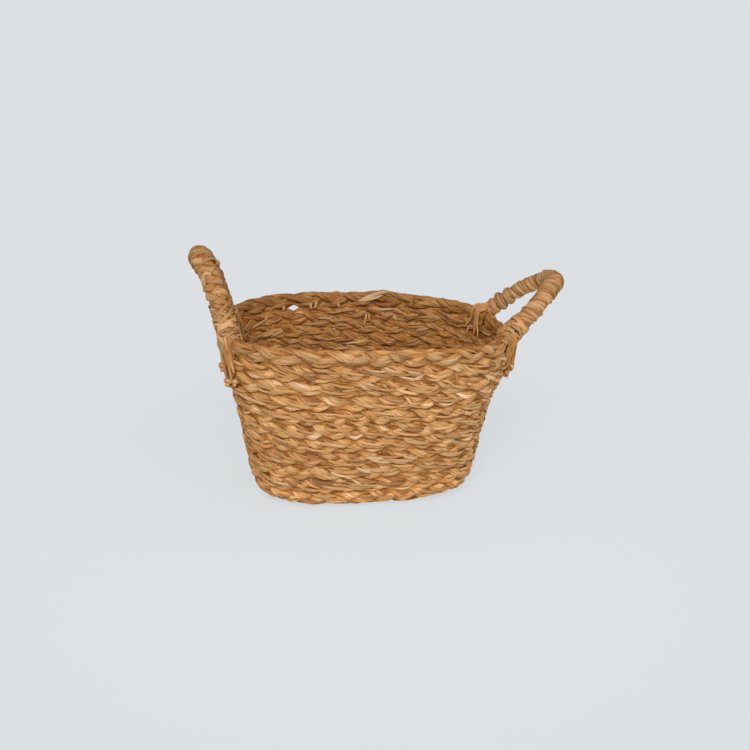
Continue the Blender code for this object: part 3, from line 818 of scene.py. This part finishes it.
class HandleLine:
    """The middle line of a handle, from its front foot over the top to its back foot.

    Its middle is shifted so far along y, and lean and curl are angles outward, curl near the top alone."""

    def __init__(self, side, shift, lean, curl, thin, lumps, waist):
        self.thin, self.lumps, self.waist = thin, lumps, waist
        self.foot_angles = [rim_angle_at(side, shift + way * HANDLE_SPAN / 2) for way in (-1.0, 1.0)]
        front, back = self.feet = [fabric(RIM_MIDDLE, np.array(angle)) for angle in self.foot_angles]
        along = unit(back - front)
        out = np.array([side, 0.0, 0.0])
        out = unit(out - along * out.dot(along))
        up = np.cross(out, along) * side
        tip = math.asin(FOOT_TIP_REACH / HANDLE_HEIGHT)
        swing = np.linspace(tip, math.pi - tip, 481)
        rise = HANDLE_HEIGHT * np.sin(swing)
        pinch = 1.0 - HANDLE_PINCH_SHARE * np.sin(swing) ** 2
        tilt = lean + curl * np.sin(swing) ** CURL_SHARPNESS
        half_span = np.linalg.norm(back - front) / 2
        self.line = (
            (front + back) / 2
            - np.outer(half_span * np.cos(swing) * pinch, along)
            + np.outer(rise * np.sin(tilt), out)
            + np.outer(rise * np.cos(tilt), up)
        )
        self.lengths = lengths_along(self.line)
        self.length = self.lengths[-1]
        ahead = unit(np.gradient(self.line, axis=0))
        face = out * math.cos(lean) - up * math.sin(lean)
        self.face = unit(face - ahead * (ahead @ face)[:, None])
        self.brow = np.cross(ahead, self.face)

    def girth(self, length):
        """How thick the winding is here, as a share, with its lumps."""
        lump = np.sin(length / 0.0014 + 3.0 * np.sin(length / 0.013))
        return self.slimness(length) * (1.0 + self.lumps * lump)

    def slimness(self, length):
        """How thick the leg is here, as a share. It thins to the back foot, and again under the beads."""
        share = np.asarray(length) / self.length
        even = 1.0 - self.thin * smooth((share - 0.45) / 0.25)
        return even * (1.0 - self.waist * smooth((length - self.length + 0.036) / 0.006))

    def pick(self, rows, length):
        return np.stack([np.interp(length, self.lengths, rows[:, axis]) for axis in range(3)], axis=-1)

    def around(self, length, angle, radius):
        """Point at a radius from the line, and the direction away from the line there."""
        face, brow = unit(self.pick(self.face, length)), unit(self.pick(self.brow, length))
        away = face * np.cos(angle)[:, None] + brow * np.sin(angle)[:, None]
        return self.pick(self.line, length) + away * np.asarray(radius)[..., None], away


def add_wound(
    sheaf, line, dice, start, end, pitch, half_width, radius, shift=0.0, hand=1.0, weave=0.0, starts=1,
    half_thick=0.0011,
):
    """One leaf wound along a handle, uneven in pitch, height, width and twist.

    With a weave above 0 it goes over and under the leaves wound the other way, so many side by side."""
    turns = (end - start) / pitch
    step = np.linspace(0.0, 1.0, int(turns * 24) + 5)
    angle = TAU * turns * step + shift
    length = start + (end - start) * step
    slide, heave, roll, breadth = (Wander(dice, wave) for wave in (0.020, 0.016, 0.013, 0.018))
    over = np.cos(starts * TAU * (length - WINDING_START) / pitch)
    lift = radius + 0.0004 * heave(length) + hand * weave * over
    length = np.clip(length + 0.0009 * slide(length), 0.0, line.length)
    point, away = line.around(length, hand * angle, lift * line.girth(length))
    ahead = unit(np.gradient(point, axis=0))
    side = np.cross(ahead, away)
    tilt = 0.30 * roll(length)
    normal = away * np.cos(tilt)[:, None] + side * np.sin(tilt)[:, None]
    tip = np.minimum(step, 1.0 - step) * turns / 0.25
    width = half_width * (1.0 + 0.22 * breadth(length)) * (0.2 + 0.8 * smooth(tip))
    # Painted light and shade: a leaf is lighter where it lies higher on the winding and darker where lower
    shades = 0.93 + 0.16 * heave(length)
    tint = leaf_tint(dice, HANDLE_SHADE, 0.84)
    crease, seed = dice.uniform(0.1, 0.6), dice.uniform(0, PATTERN_SPAN)
    sheaf.add(point, normal, width, half_thick, tint, seed, crease, 0.0, shades, HANDLE_BORDER_SHADE)


def add_bundle(sheaf, line, dice):
    """The leaves under the winding, which show at the feet and between the turns."""
    for leaf in range(13):
        angle = TAU * leaf / 13 + dice.uniform(-0.2, 0.2)
        along = np.linspace(0.0, line.length, 70)
        from_tip = np.minimum(along, line.length - along)
        radius = 0.0046 + 0.0014 * smooth(from_tip / 0.010) + 0.0004 * Wander(dice, 0.03)(along)
        angle = angle + 0.9 * Wander(dice, 0.12)(along)
        point, away = line.around(along, angle, radius * line.girth(along))
        sheaf.add(point, away, 0.0021, 0.0012, *leaf_look(dice, 0.75), 0.2)


def add_bead(sheaf, dice, line, climb, size):
    """A fat ring round the back leg: several leaves side by side over a bulge."""
    share = np.linspace(0.0, 1.0, 34)
    tilt = dice.uniform(0.0014, 0.0020)
    toward = dice.uniform(-0.2, 0.2)
    for order in range(6):
        offset = (order - 2.5) / 2.7
        around = TAU * 1.03 * share + dice.uniform(0.0, TAU)
        length = line.length - climb - 0.0034 * offset + tilt * np.sin(around - toward)
        bulge = math.sqrt(1.0 - offset**2)
        radius = BEAD_CORE + size * bulge + 0.0003 * Wander(dice, 0.3)(share)
        point, away = line.around(length, around, radius)
        ahead = unit(line.pick(np.gradient(line.line, axis=0), length))
        normal = unit(away * bulge + ahead * -0.9 * offset)
        tint, seed = leaf_look(dice, HANDLE_SHADE)
        sheaf.add(point, normal, 0.0011, 0.0008, tint, seed, 0.2, border=HANDLE_BORDER_SHADE)


def make_handle(label, line, seed, bands, extras, beads, knob):
    """A handle's bundle and winding. Extras are short leaves anywhere on it, knob those at its top."""
    dice = np.random.default_rng(seed)
    body = f"{label}_handle"
    bundle = Sheaf()
    add_bundle(bundle, line, dice)
    bundle.make(f"{label}_handle_bundle", HANDLE_LEAF, body, [f"{label}_handle_core"])

    winding = Sheaf()
    start, end = WINDING_START, line.length - WINDING_START
    plain_end = end - (beads[-1][0] + 0.0015 if beads else 0.0)
    add_wound(winding, line, dice, start, end, 0.0066, 0.0040, 0.0070)
    for order, (pitch, half_width, hand, weave, starts, half_thick) in enumerate(bands):
        for strand in range(starts):
            add_wound(
                winding, line, dice, start, plain_end, pitch, half_width, WINDING_RADIUS + 0.0001 * order,
                TAU * strand / starts + 0.4 * order, hand, weave, starts, half_thick,
            )
    for _ in range(extras):
        middle = dice.uniform(0.08, 0.92) * plain_end
        spread = dice.uniform(0.004, 0.011)
        add_wound(
            winding, line, dice, max(middle - spread, start), min(middle + spread, plain_end),
            dice.uniform(0.008, 0.024), dice.uniform(0.0013, 0.0026), WINDING_RADIUS + 0.0010,
            dice.uniform(0, TAU), dice.choice([-1.0, 1.0, 1.0]),
        )
    for order in range(knob):
        spread = dice.uniform(0.005, 0.012)
        middle = line.length / 2 + dice.uniform(-0.010, 0.010)
        add_wound(
            winding, line, dice, middle - spread, middle + spread, dice.uniform(0.010, 0.026),
            dice.uniform(0.0013, 0.0021), WINDING_RADIUS + 0.0012 + 0.00005 * order, dice.uniform(0, TAU),
            dice.choice([-1.0, 1.0]),
        )
    for climb, size in beads:
        add_bead(winding, dice, line, climb, size)
    winding.make(f"{label}_handle_wrap", HANDLE_LEAF, body, [f"{label}_handle_winding"])


# Side, shift along y, lean, curl, how much thinner the back leg is, lumps, and the waist under the beads
left_line = HandleLine(-1, -0.0070, math.radians(13.9), math.radians(4.4), 0.0, 0.060, 0.0)
right_line = HandleLine(1, 0.0040, math.radians(50.4), math.radians(1.6), 0.13, 0.0, 0.20)
make_handle("left", left_line, 31, LEFT_BANDS, 5, (), 16)
make_handle("right", right_line, 32, RIGHT_BANDS, 8, BEADS, 0)

# Where the handles meet the rim

OUTSIDE_GAP, INSIDE_GAP, RIM_GAP, LAYER = 0.0022, 0.0016, 0.0014, 0.0011
ON_RIM = HALF_RIM_PLAIT + RIM_GAP
LEG_CORE, TIE_RADIUS = 0.0070, 0.0099
# A tie's climb up the leg in metres and its turn round it, from the crossing and back to it
TIE_CLIMB = (
    (0.0015, -0.3), (0.0065, 0.9), (0.0095, 2.0), (0.0105, 3.14), (0.0095, 4.28), (0.0065, 5.38),
    (0.0015, 6.58),
)


class Foot:
    """One end of a handle on the rim. A side is in metres along the rim, to the left seen from inside."""

    def __init__(self, line, index):
        self.line, self.index, self.angle = line, index, line.foot_angles[index]
        self.place = line.feet[index]
        end = (0, -1)[index]
        self.ahead = unit(line.line[end] - self.place)
        beyond, short = (fabric(RIM_MIDDLE, np.array(self.angle + step)) for step in (0.01, -0.01))
        run = beyond - short
        self.pace = float(np.linalg.norm(run)) / 0.02
        _, up, outward, _ = fabric_axes(RIM_MIDDLE, np.array(self.angle))
        self.lean = math.atan2(self.ahead @ up, self.ahead @ outward)
        self.hand = float(np.sign(line.brow[end] @ run))
        self.slim = float(line.slimness((0.0, line.length)[index]))

    def on_leg(self, climb, around, radius):
        """Points round the leg. Climbs are measured from its tip, and below 0 they lead on to the rim."""
        tip, way = ((0.0, 1.0), (self.line.length, -1.0))[self.index]
        point, away = self.line.around(tip + way * np.maximum(climb, 0.0), around, radius)
        return point + np.multiply.outer(np.minimum(climb, 0.0), self.ahead), away

    def over_rim(self, side, turn, radius):
        """A point round the rim plait's section, where turn 0 is outside and a quarter turn is on top."""
        point, up, outward, _ = fabric_axes(RIM_MIDDLE, np.array(self.angle + side / self.pace))
        away = outward * math.cos(turn) + up * math.sin(turn)
        return point + away * (radius + 0.0009 * math.sin(turn) ** 2), away

    def on_wall(self, side, drop, gap, face):
        """A point so far under the rim's middle. Face 1 is the wall's outside."""
        turn = np.array(RIM_MIDDLE - drop / WALL_PITCH)
        point, _, outward, _ = fabric_axes(turn, np.array(self.angle + side / self.pace))
        return point + outward * (face * (HALF_PLAIT + gap)), outward * face


def add_laid_leaf(sheaf, dice, stops, half_width, half_thick=0.0009, shade=1.0):
    """A leaf laid smoothly along stops, each a point and the direction that its face turns to."""
    count = 8 * len(stops)
    points = smooth_route([point for point, _ in stops], count)
    away = unit(smooth_route([away for _, away in stops], count))
    share = np.linspace(0.0, 1.0, count)
    side = unit(np.cross(away, np.gradient(points, axis=0)))
    points = points + side * (0.0005 * Wander(dice, 0.4)(share))[:, None]
    tip = np.minimum(share, 1.0 - share) / 0.09
    width = half_width * (1.0 + 0.15 * Wander(dice, 0.3)(share)) * (0.35 + 0.65 * smooth(tip))
    tint, seed = leaf_look(dice, shade, 0.85)
    sheaf.add(points, away, width, half_thick, tint, seed, 0.3, border=HANDLE_BORDER_SHADE)


def add_lashing_strand(sheaf, dice, foot, sides, drops, half_width, layer, shade=1.0):
    """One leaf from outside over the rim to the inside."""
    side_outside, side_top, side_inside = sides
    drop_outside, drop_inside = drops
    stops = []
    for share in (1.0, 0.7, 0.42):
        side = side_top + (side_outside - side_top) * share
        gap = OUTSIDE_GAP * (1.0 - 0.45 * share**3) + LAYER * layer
        stops.append(foot.on_wall(side, drop_outside * share, gap, 1.0))
    for turn in (0.0, 0.6, 1.2, math.pi / 2, 2.0, 2.6, 3.1):
        share = (turn - math.pi / 2) / (math.pi / 2)
        side = side_top + (side_outside - side_top) * 0.25 * max(-share, 0.0)
        side += (side_inside - side_top) * 0.35 * max(share, 0.0)
        stops.append(foot.over_rim(side, turn, ON_RIM + LAYER * layer))
    for share in (0.45, 0.72, 1.0):
        side = side_top + (side_inside - side_top) * share
        gap = INSIDE_GAP + LAYER * max(layer, -1.2)
        stops.append(foot.on_wall(side, drop_inside * share, gap, -1.0))
    add_laid_leaf(sheaf, dice, stops, half_width, shade=shade)


def add_pad(sheaf, dice, foot, side, drop, layer):
    """A leaf laid over the rim's outside, under the leaves that come down from the leg."""
    stops = []
    for turn, share in ((1.3, 0.3), (0.75, 0.6), (0.15, 1.0)):
        stops.append(foot.over_rim(side, turn, ON_RIM + LAYER * layer * share))
    for share in (0.4, 0.7, 1.0):
        rise = LAYER * layer * (1.2 - share) if layer > 0 else LAYER * layer
        stops.append(foot.on_wall(side, drop * share, OUTSIDE_GAP + rise, 1.0))
    add_laid_leaf(sheaf, dice, stops, dice.uniform(0.0023, 0.0030), shade=0.86)


def add_knot(sheaf, dice, foot, side, drop, size, gap):
    """A strand's end tied on itself: a threefold knot of leaf, with its ends cut short."""
    centre, outward = foot.on_wall(side, drop, gap, 1.0)
    turn = np.linspace(0.0, TAU, 44)
    wide = np.sin(turn) + 2 * np.sin(2 * turn)
    high = np.cos(turn) - 2 * np.cos(2 * turn)
    shape = np.stack([wide, high, -1.3 * np.sin(3 * turn)], axis=-1) / 3.0
    round_way = unit(np.cross(np.array((0.0, 0.0, 1.0)), outward))
    axes = np.stack([round_way, np.cross(outward, round_way), outward])
    points = centre + size * shape @ axes
    away = unit(points - centre + 0.001 * outward)
    sheaf.add(points, away, 0.0018, 0.0011, *leaf_look(dice, 0.9), 0.3)
    share = np.linspace(0.0, 1.0, 8)[:, None]
    for _ in range(3):
        drift = round_way * dice.uniform(-0.6, 0.6) + outward * dice.uniform(0.1, 0.6)
        drift = drift - np.array((0.0, 0.0, 0.8))
        tail = centre + drift * share * dice.uniform(0.004, 0.007)
        width = 0.0009 * (1.2 - share[:, 0])
        tint, seed = leaf_look(dice, 1.05)
        sheaf.add(tail, np.broadcast_to(outward, tail.shape), width, 0.0004, tint, seed, 0.1)


def add_fan_leaf(sheaf, dice, foot, face, leg_side, side, drop, half_width, layer):
    """A leaf that comes down out of a leg's winding, round the rim and down one face of the wall."""
    core = LEG_CORE * foot.slim
    leg_side = leg_side * foot.slim
    across = math.asin(leg_side / core) * foot.hand
    around = np.array([across if face > 0 else math.pi - across])
    stops = []
    for climb in (0.010, 0.005, 0.0):
        point, away = foot.on_leg(np.array([climb]), around, np.array([core + 0.0002 * layer]))
        stops.append((point[0], away[0]))
    turn, last, radius = foot.lean - face * 0.85, math.pi * (face < 0), 0.0106
    while (turn - last) * face > 0.2:
        stops.append(foot.over_rim(leg_side + (side - leg_side) * 0.2, turn, radius + 0.0003 * layer))
        turn, radius = turn - face * 0.5, max(radius - 0.0009, 0.0088)
    for share in (0.3, 0.65, 1.0):
        gap = (OUTSIDE_GAP if face > 0 else INSIDE_GAP) + LAYER * layer * (1.0 - 0.4 * share**2)
        stops.append(foot.on_wall(leg_side + (side - leg_side) * share, drop * share, gap, face))
    add_laid_leaf(sheaf, dice, stops, half_width, 0.0010)


def add_tie(sheaf, dice, foot, face, hand, side, lift, half_width):
    """A leaf that comes up from the rim beside the leg, crosses it, goes round it and crosses back."""
    turn = foot.lean - face * 1.0
    radius = 0.0094 + lift - 0.26 * max(side - 0.0048, 0.0)
    low = [foot.over_rim(-hand * side, turn - face * extra, radius) for extra in (0.6, 0.0)]
    high = [foot.over_rim(hand * side, turn - face * extra, radius + 0.0004) for extra in (0.0, 0.6)]
    middle = []
    for climb, swing in TIE_CLIMB:
        around = (0.0 if face > 0 else math.pi) + foot.hand * hand * swing
        radius_here = np.array([TIE_RADIUS * foot.slim + lift])
        point, away = foot.on_leg(np.array([climb * foot.slim]), np.array([around]), radius_here)
        middle.append((point[0], away[0]))
    add_laid_leaf(sheaf, dice, low + middle + high, half_width)


def add_foot_wrap(sheaf, dice, foot, climb, slant, toward, radius, half_width):
    """A leaf once round a leg aslant, its ends tucked under."""
    share = np.linspace(0.0, 1.0, 40)
    around = toward + TAU * 1.12 * (share - 0.5)
    tucked = 1.0 - smooth(np.minimum(share, 1.0 - share) / 0.12)
    lift = radius * foot.slim + 0.0004 * Wander(dice, 0.4)(share) - 0.0014 * tucked
    point, away = foot.on_leg(climb + slant * np.sin(around - toward + 1.57), around, lift)
    width = half_width * (1.0 + 0.2 * Wander(dice, 0.4)(share)) * (1.0 - 0.5 * tucked)
    tint, seed = leaf_look(dice, 0.76, 0.7)
    sheaf.add(point, away, width, 0.0010, tint, seed, 0.4, border=HANDLE_BORDER_SHADE)


# The leaves at each foot. Lengths are in millimetres, and layers are counted out from the wall or rim
# Strands: sides outside, on top and inside, drops outside and inside, half width, and layer
# Fan: face, side on the leg, side on the wall, drop, half width, and layer
# Knots: side, drop, size, and gap to the wall
LASHINGS = {
    "left_front": {
        "strands": (
            (0.5, 1, 3, 26, 24, 2.6, 0), (11, 6, 7, 22, 20, 2.8, 0), (6, 3, 0, 34, 28, 2, 0.8),
            (-8.5, -6, -4, 26, 26, 3, 0.4), (-5, -3, -6, 31, 22, 2.2, 1),
        ),
        "fan": (
            (1, -5.5, -8, 24, 2.6, 2.6), (1, -2, 2, 32, 2.6, 3.8), (1, 2.2, -1, 31, 2.6, 2.6),
            (1, 5.5, 12.5, 22, 2.5, 0.8), (1, 0, 3, 26, 1.8, 4.4), (1, 6, 8.5, 30, 2.2, 1.4),
            (-1, -5, -6, 18, 2.4, 0.6), (-1, -1, -1, 22, 2.4, 0), (-1, 3, 5, 20, 2.2, 0.6),
            (-1, 6, 9, 16, 2.2, 0),
        ),
        "knots": ((1, 34.5, 4.4, 4), (11, 32, 2.8, 2.2), (-4, 20.5, 4.2, 5.4)),
        "pads": 4,
    },
    "left_back": {
        "strands": (
            (-2, 0, -2, 30, 26, 2.7, 0.4), (-7, -4.5, -8, 34, 28, 2, 0), (5, 4, 2, 26, 25, 2.3, 0),
            (7, 6, 4, 30, 22, 2.4, 0.8),
        ),
        "fan": (
            (1, -5.5, -8, 22, 2.6, 0.6), (1, -1.5, 2, 30, 2.8, 1.4), (1, 2.2, -2, 34, 2.6, 1),
            (1, 5.5, 9, 28, 2.7, 0.6), (-1, 4, 3, 24, 2.6, 1.4), (-1, -2, -3, 28, 2.9, 4.4),
            (-1, -4, -11, 26, 2.4, 6.2), (-1, -5.5, -18, 22, 1.8, 4),
        ),
        "knots": ((-1, 30, 4, 2.2), (6, 34.5, 3.6, 2.2), (11, 28, 3, 2)),
        "pads": 2,
    },
    "right_front": {
        "strands": (
            (-3, -3, 2, 22, 24, 2.4, 0.8), (2, 1, 5, 26, 26, 2.6, 0.3), (-8, -6.5, -4, 18, 22, 2.2, 0),
            (6.5, 5.5, 0, 30, 20, 2.4, 0.4),
        ),
        "fan": (
            (1, -5.5, -2, 25, 2.7, 3.8), (1, -2, 0.4, 27, 2.8, 5.6), (1, 2, 0.8, 27, 2.6, 5),
            (1, 5.5, 3, 24, 2.6, 3.2), (1, -4, 2, 22, 2.4, 2.2), (1, 4, -3, 22, 2.4, 2),
            (-1, -5.5, -6, 12, 2.4, 0.4), (-1, -1.5, -2, 16, 2.6, 1.2), (-1, 2, 4, 18, 2.2, 0.6),
            (-1, 5.5, 8, 14, 2.2, 0),
        ),
        "knots": ((-0.5, 26.5, 4.8, 4.6), (5, 31, 3.8, 2.6), (-6, 33, 3.6, 2)),
        "pads": 5,
    },
    "right_back": {
        "strands": (
            (-8, -4, -4, 30, 18, 2.7, 0.8), (-3, 1, 1, 34, 16, 2.6, 1.2), (3, 5, 15, 26, 16, 1.3, 0),
            (6, 8, 12, 28, 12, 2.2, 0.4),
        ),
        "fan": (
            (1, -5.5, -7, 24, 2.7, 0.8), (1, -2, 3, 26, 2.6, 1.6), (1, 2, -1.5, 26, 2.4, 1.2),
            (1, 5.5, 8, 24, 2.6, 0.6), (-1, -4.5, -13, 22, 1.3, 2), (-1, 0, -4.5, 22, 2.2, 2.2),
            (-1, 6, 16, 18, 1.4, 1),
        ),
        "knots": ((-1, 28.5, 4.4, 2.6), (6, 32, 3.4, 2.2)),
        "pads": 2,
    },
}
# Each wrap's climb and slant in millimetres, and the angle round the leg at which it is highest
LEFT_WRAPS = (
    (-4.6, 1.6, 0.3), (-3, 1.6, 3.3), (-1, 2.4, 0.6), (1, 4, 3.6), (2.8, 4.6, 0.1), (4.6, 5, 2.7),
    (6.2, 4.8, 5.9), (8, 5.6, 3.4), (9.8, 5, 0.5), (11.6, 5.8, 2.8), (13.6, 5, 6.1), (15.6, 6, 3.5),
    (17.6, 5.6, 0.2), (20, 6, 2.9), (22.6, 5.2, 0.4),
)
RIGHT_WRAPS = (
    (-4, 1.4, 0.4), (-2, 1.6, 3.2), (0.2, 2.2, 0.5), (2.6, 3.4, 3.6), (5.2, 3, 0.3), (8.4, 2.6, 2.9),
)


def add_packing(sheaf, dice, foot, pads):
    """Leaves close round the rim under the lashing, and layers of pads over them on the outside."""
    for layer, spread in ((-2.2, 0.0095), (-1.2, 0.0080)):
        for side in np.linspace(-spread, spread, 7):
            side = side + dice.uniform(-0.0006, 0.0006)
            drops = dice.uniform(0.014, 0.020), dice.uniform(0.008, 0.013)
            half_width = dice.uniform(0.0018, 0.0025)
            add_lashing_strand(sheaf, dice, foot, (side, side, side), drops, half_width, layer, 0.84)
    for layer in range(-2, pads):
        for side in np.linspace(-0.0070, 0.0070, 5) * (1.0 - 0.08 * layer):
            drop = dice.uniform(0.021, 0.027) - 0.0015 * layer
            add_pad(sheaf, dice, foot, side + dice.uniform(-0.0008, 0.0008), drop, layer)


def make_foot(label, line, index, seed, wraps):
    """The lashing on the rim, which stays still, and the leaves of the leg."""
    key = f"{label}_{('front', 'back')[index]}"
    parts, foot = LASHINGS[key], Foot(line, index)
    dice = np.random.default_rng(seed)
    still = Sheaf()
    add_packing(still, dice, foot, parts["pads"])
    for *lengths, layer in parts["strands"]:
        *sides, drop_outside, drop_inside, half_width = metres(lengths)
        add_lashing_strand(still, dice, foot, sides, (drop_outside, drop_inside), half_width, layer)
    for lengths in parts["knots"]:
        add_knot(still, dice, foot, *metres(lengths))
    still.make(f"{key}_lashing_strands", LASHING_LEAF, "basket", [f"{key}_lashing"])

    bending = Sheaf()
    for face, *lengths, layer in parts["fan"]:
        add_fan_leaf(bending, dice, foot, face, *metres(lengths), layer)
    for face in (1.0, -1.0):
        for hand in (1.0, -1.0):
            add_tie(bending, dice, foot, face, hand, 0.0050, 0.0002, dice.uniform(0.0020, 0.0027))
            add_tie(bending, dice, foot, face, hand, 0.0078, 0.0007, dice.uniform(0.0016, 0.0022))
    for *lengths, toward in wraps:
        climb, slant = metres(lengths)
        radius = 0.0100 if climb > 0.0 else 0.0094
        add_foot_wrap(bending, dice, foot, climb, slant, toward, radius, dice.uniform(0.0014, 0.0021))
    piece = bending.make(f"{key}_leg_leaves", LASHING_LEAF)
    start, end = (tuple(foot.place + foot.ahead * reach) for reach in (0.003, 0.0118))
    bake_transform(piece)


make_foot("left", left_line, 0, 48, LEFT_WRAPS)
make_foot("left", left_line, 1, 49, LEFT_WRAPS)
make_foot("right", right_line, 0, 50, RIGHT_WRAPS)
make_foot("right", right_line, 1, 51, RIGHT_WRAPS[:3])

# Stage and light

BACKDROP = (0.716, 0.745, 0.767, 1.0)
FLOOR = (0.74, 0.85, 0.93, 1.0)
# Light from all round is warmer than what the camera sees behind the object
AMBIENT = (0.490, 0.436, 0.362, 1.0)
LIT_PLACE = Vector((0.0, 0.0, 0.1))


def make_stage():
    """A pale floor that looks like the backdrop, with the object's soft shadow near it."""
    bpy.ops.mesh.primitive_plane_add(size=24.0, location=(0.0, 0.0, -0.0002))
    floor = bpy.context.object
    floor.name = "floor"
    finish = Finish("pale_floor")
    finish.set(Base_Color=FLOOR, Roughness=0.9)
    glow = finish.node("ShaderNodeEmission", None, {"Color": BACKDROP, "Strength": 1.0})
    seen = finish.node("ShaderNodeLightPath", output="Is Camera Ray")
    place = finish.node("ShaderNodeTexCoord", output="Object")
    distance = finish.node("ShaderNodeVectorMath", {"operation": "LENGTH"}, {0: place}, "Value")
    far = finish.node(
        "ShaderNodeMapRange", {"interpolation_type": "SMOOTHSTEP"},
        {"Value": distance, "From Min": 0.16, "From Max": 0.55, "To Min": 0.80, "To Max": 1.0},
    )
    lit = Signal(finish.shader.outputs[0])
    mix = finish.node("ShaderNodeMixShader", None, {0: seen * far, 1: lit, 2: glow})
    connect(finish.tree.nodes["Material Output"].inputs["Surface"], mix)
    floor.data.materials.append(finish.material)

    world = bpy.data.worlds.new("studio")
    bpy.context.scene.world = world
    world.use_nodes = True
    nodes = world.node_tree.nodes
    choice = nodes.new("ShaderNodeMix")
    choice.data_type = "RGBA"
    choice.inputs[6].default_value = AMBIENT
    choice.inputs[7].default_value = BACKDROP
    connect(choice.inputs[0], Signal(nodes.new("ShaderNodeLightPath").outputs["Is Camera Ray"]))
    connect(nodes["Background"].inputs["Color"], Signal(choice.outputs[2]))


def add_lamp(name, location, size, power, colour):
    bpy.ops.object.light_add(type="AREA", location=location)
    lamp = bpy.context.object
    lamp.name = name
    lamp.data.size = size
    lamp.data.color = colour
    lamp.data.energy = power
    lamp.rotation_euler = (LIT_PLACE - Vector(location)).to_track_quat("-Z", "Y").to_euler()


make_stage()
add_lamp("key", (-0.38, -1.62, 1.50), 0.9, 33.5, (0.99, 0.965, 0.94))
add_lamp("fill", (1.5, -1.1, 1.0), 1.4, 9.0, (0.84, 0.92, 1.0))
bpy.context.scene.view_settings.view_transform = "Standard"
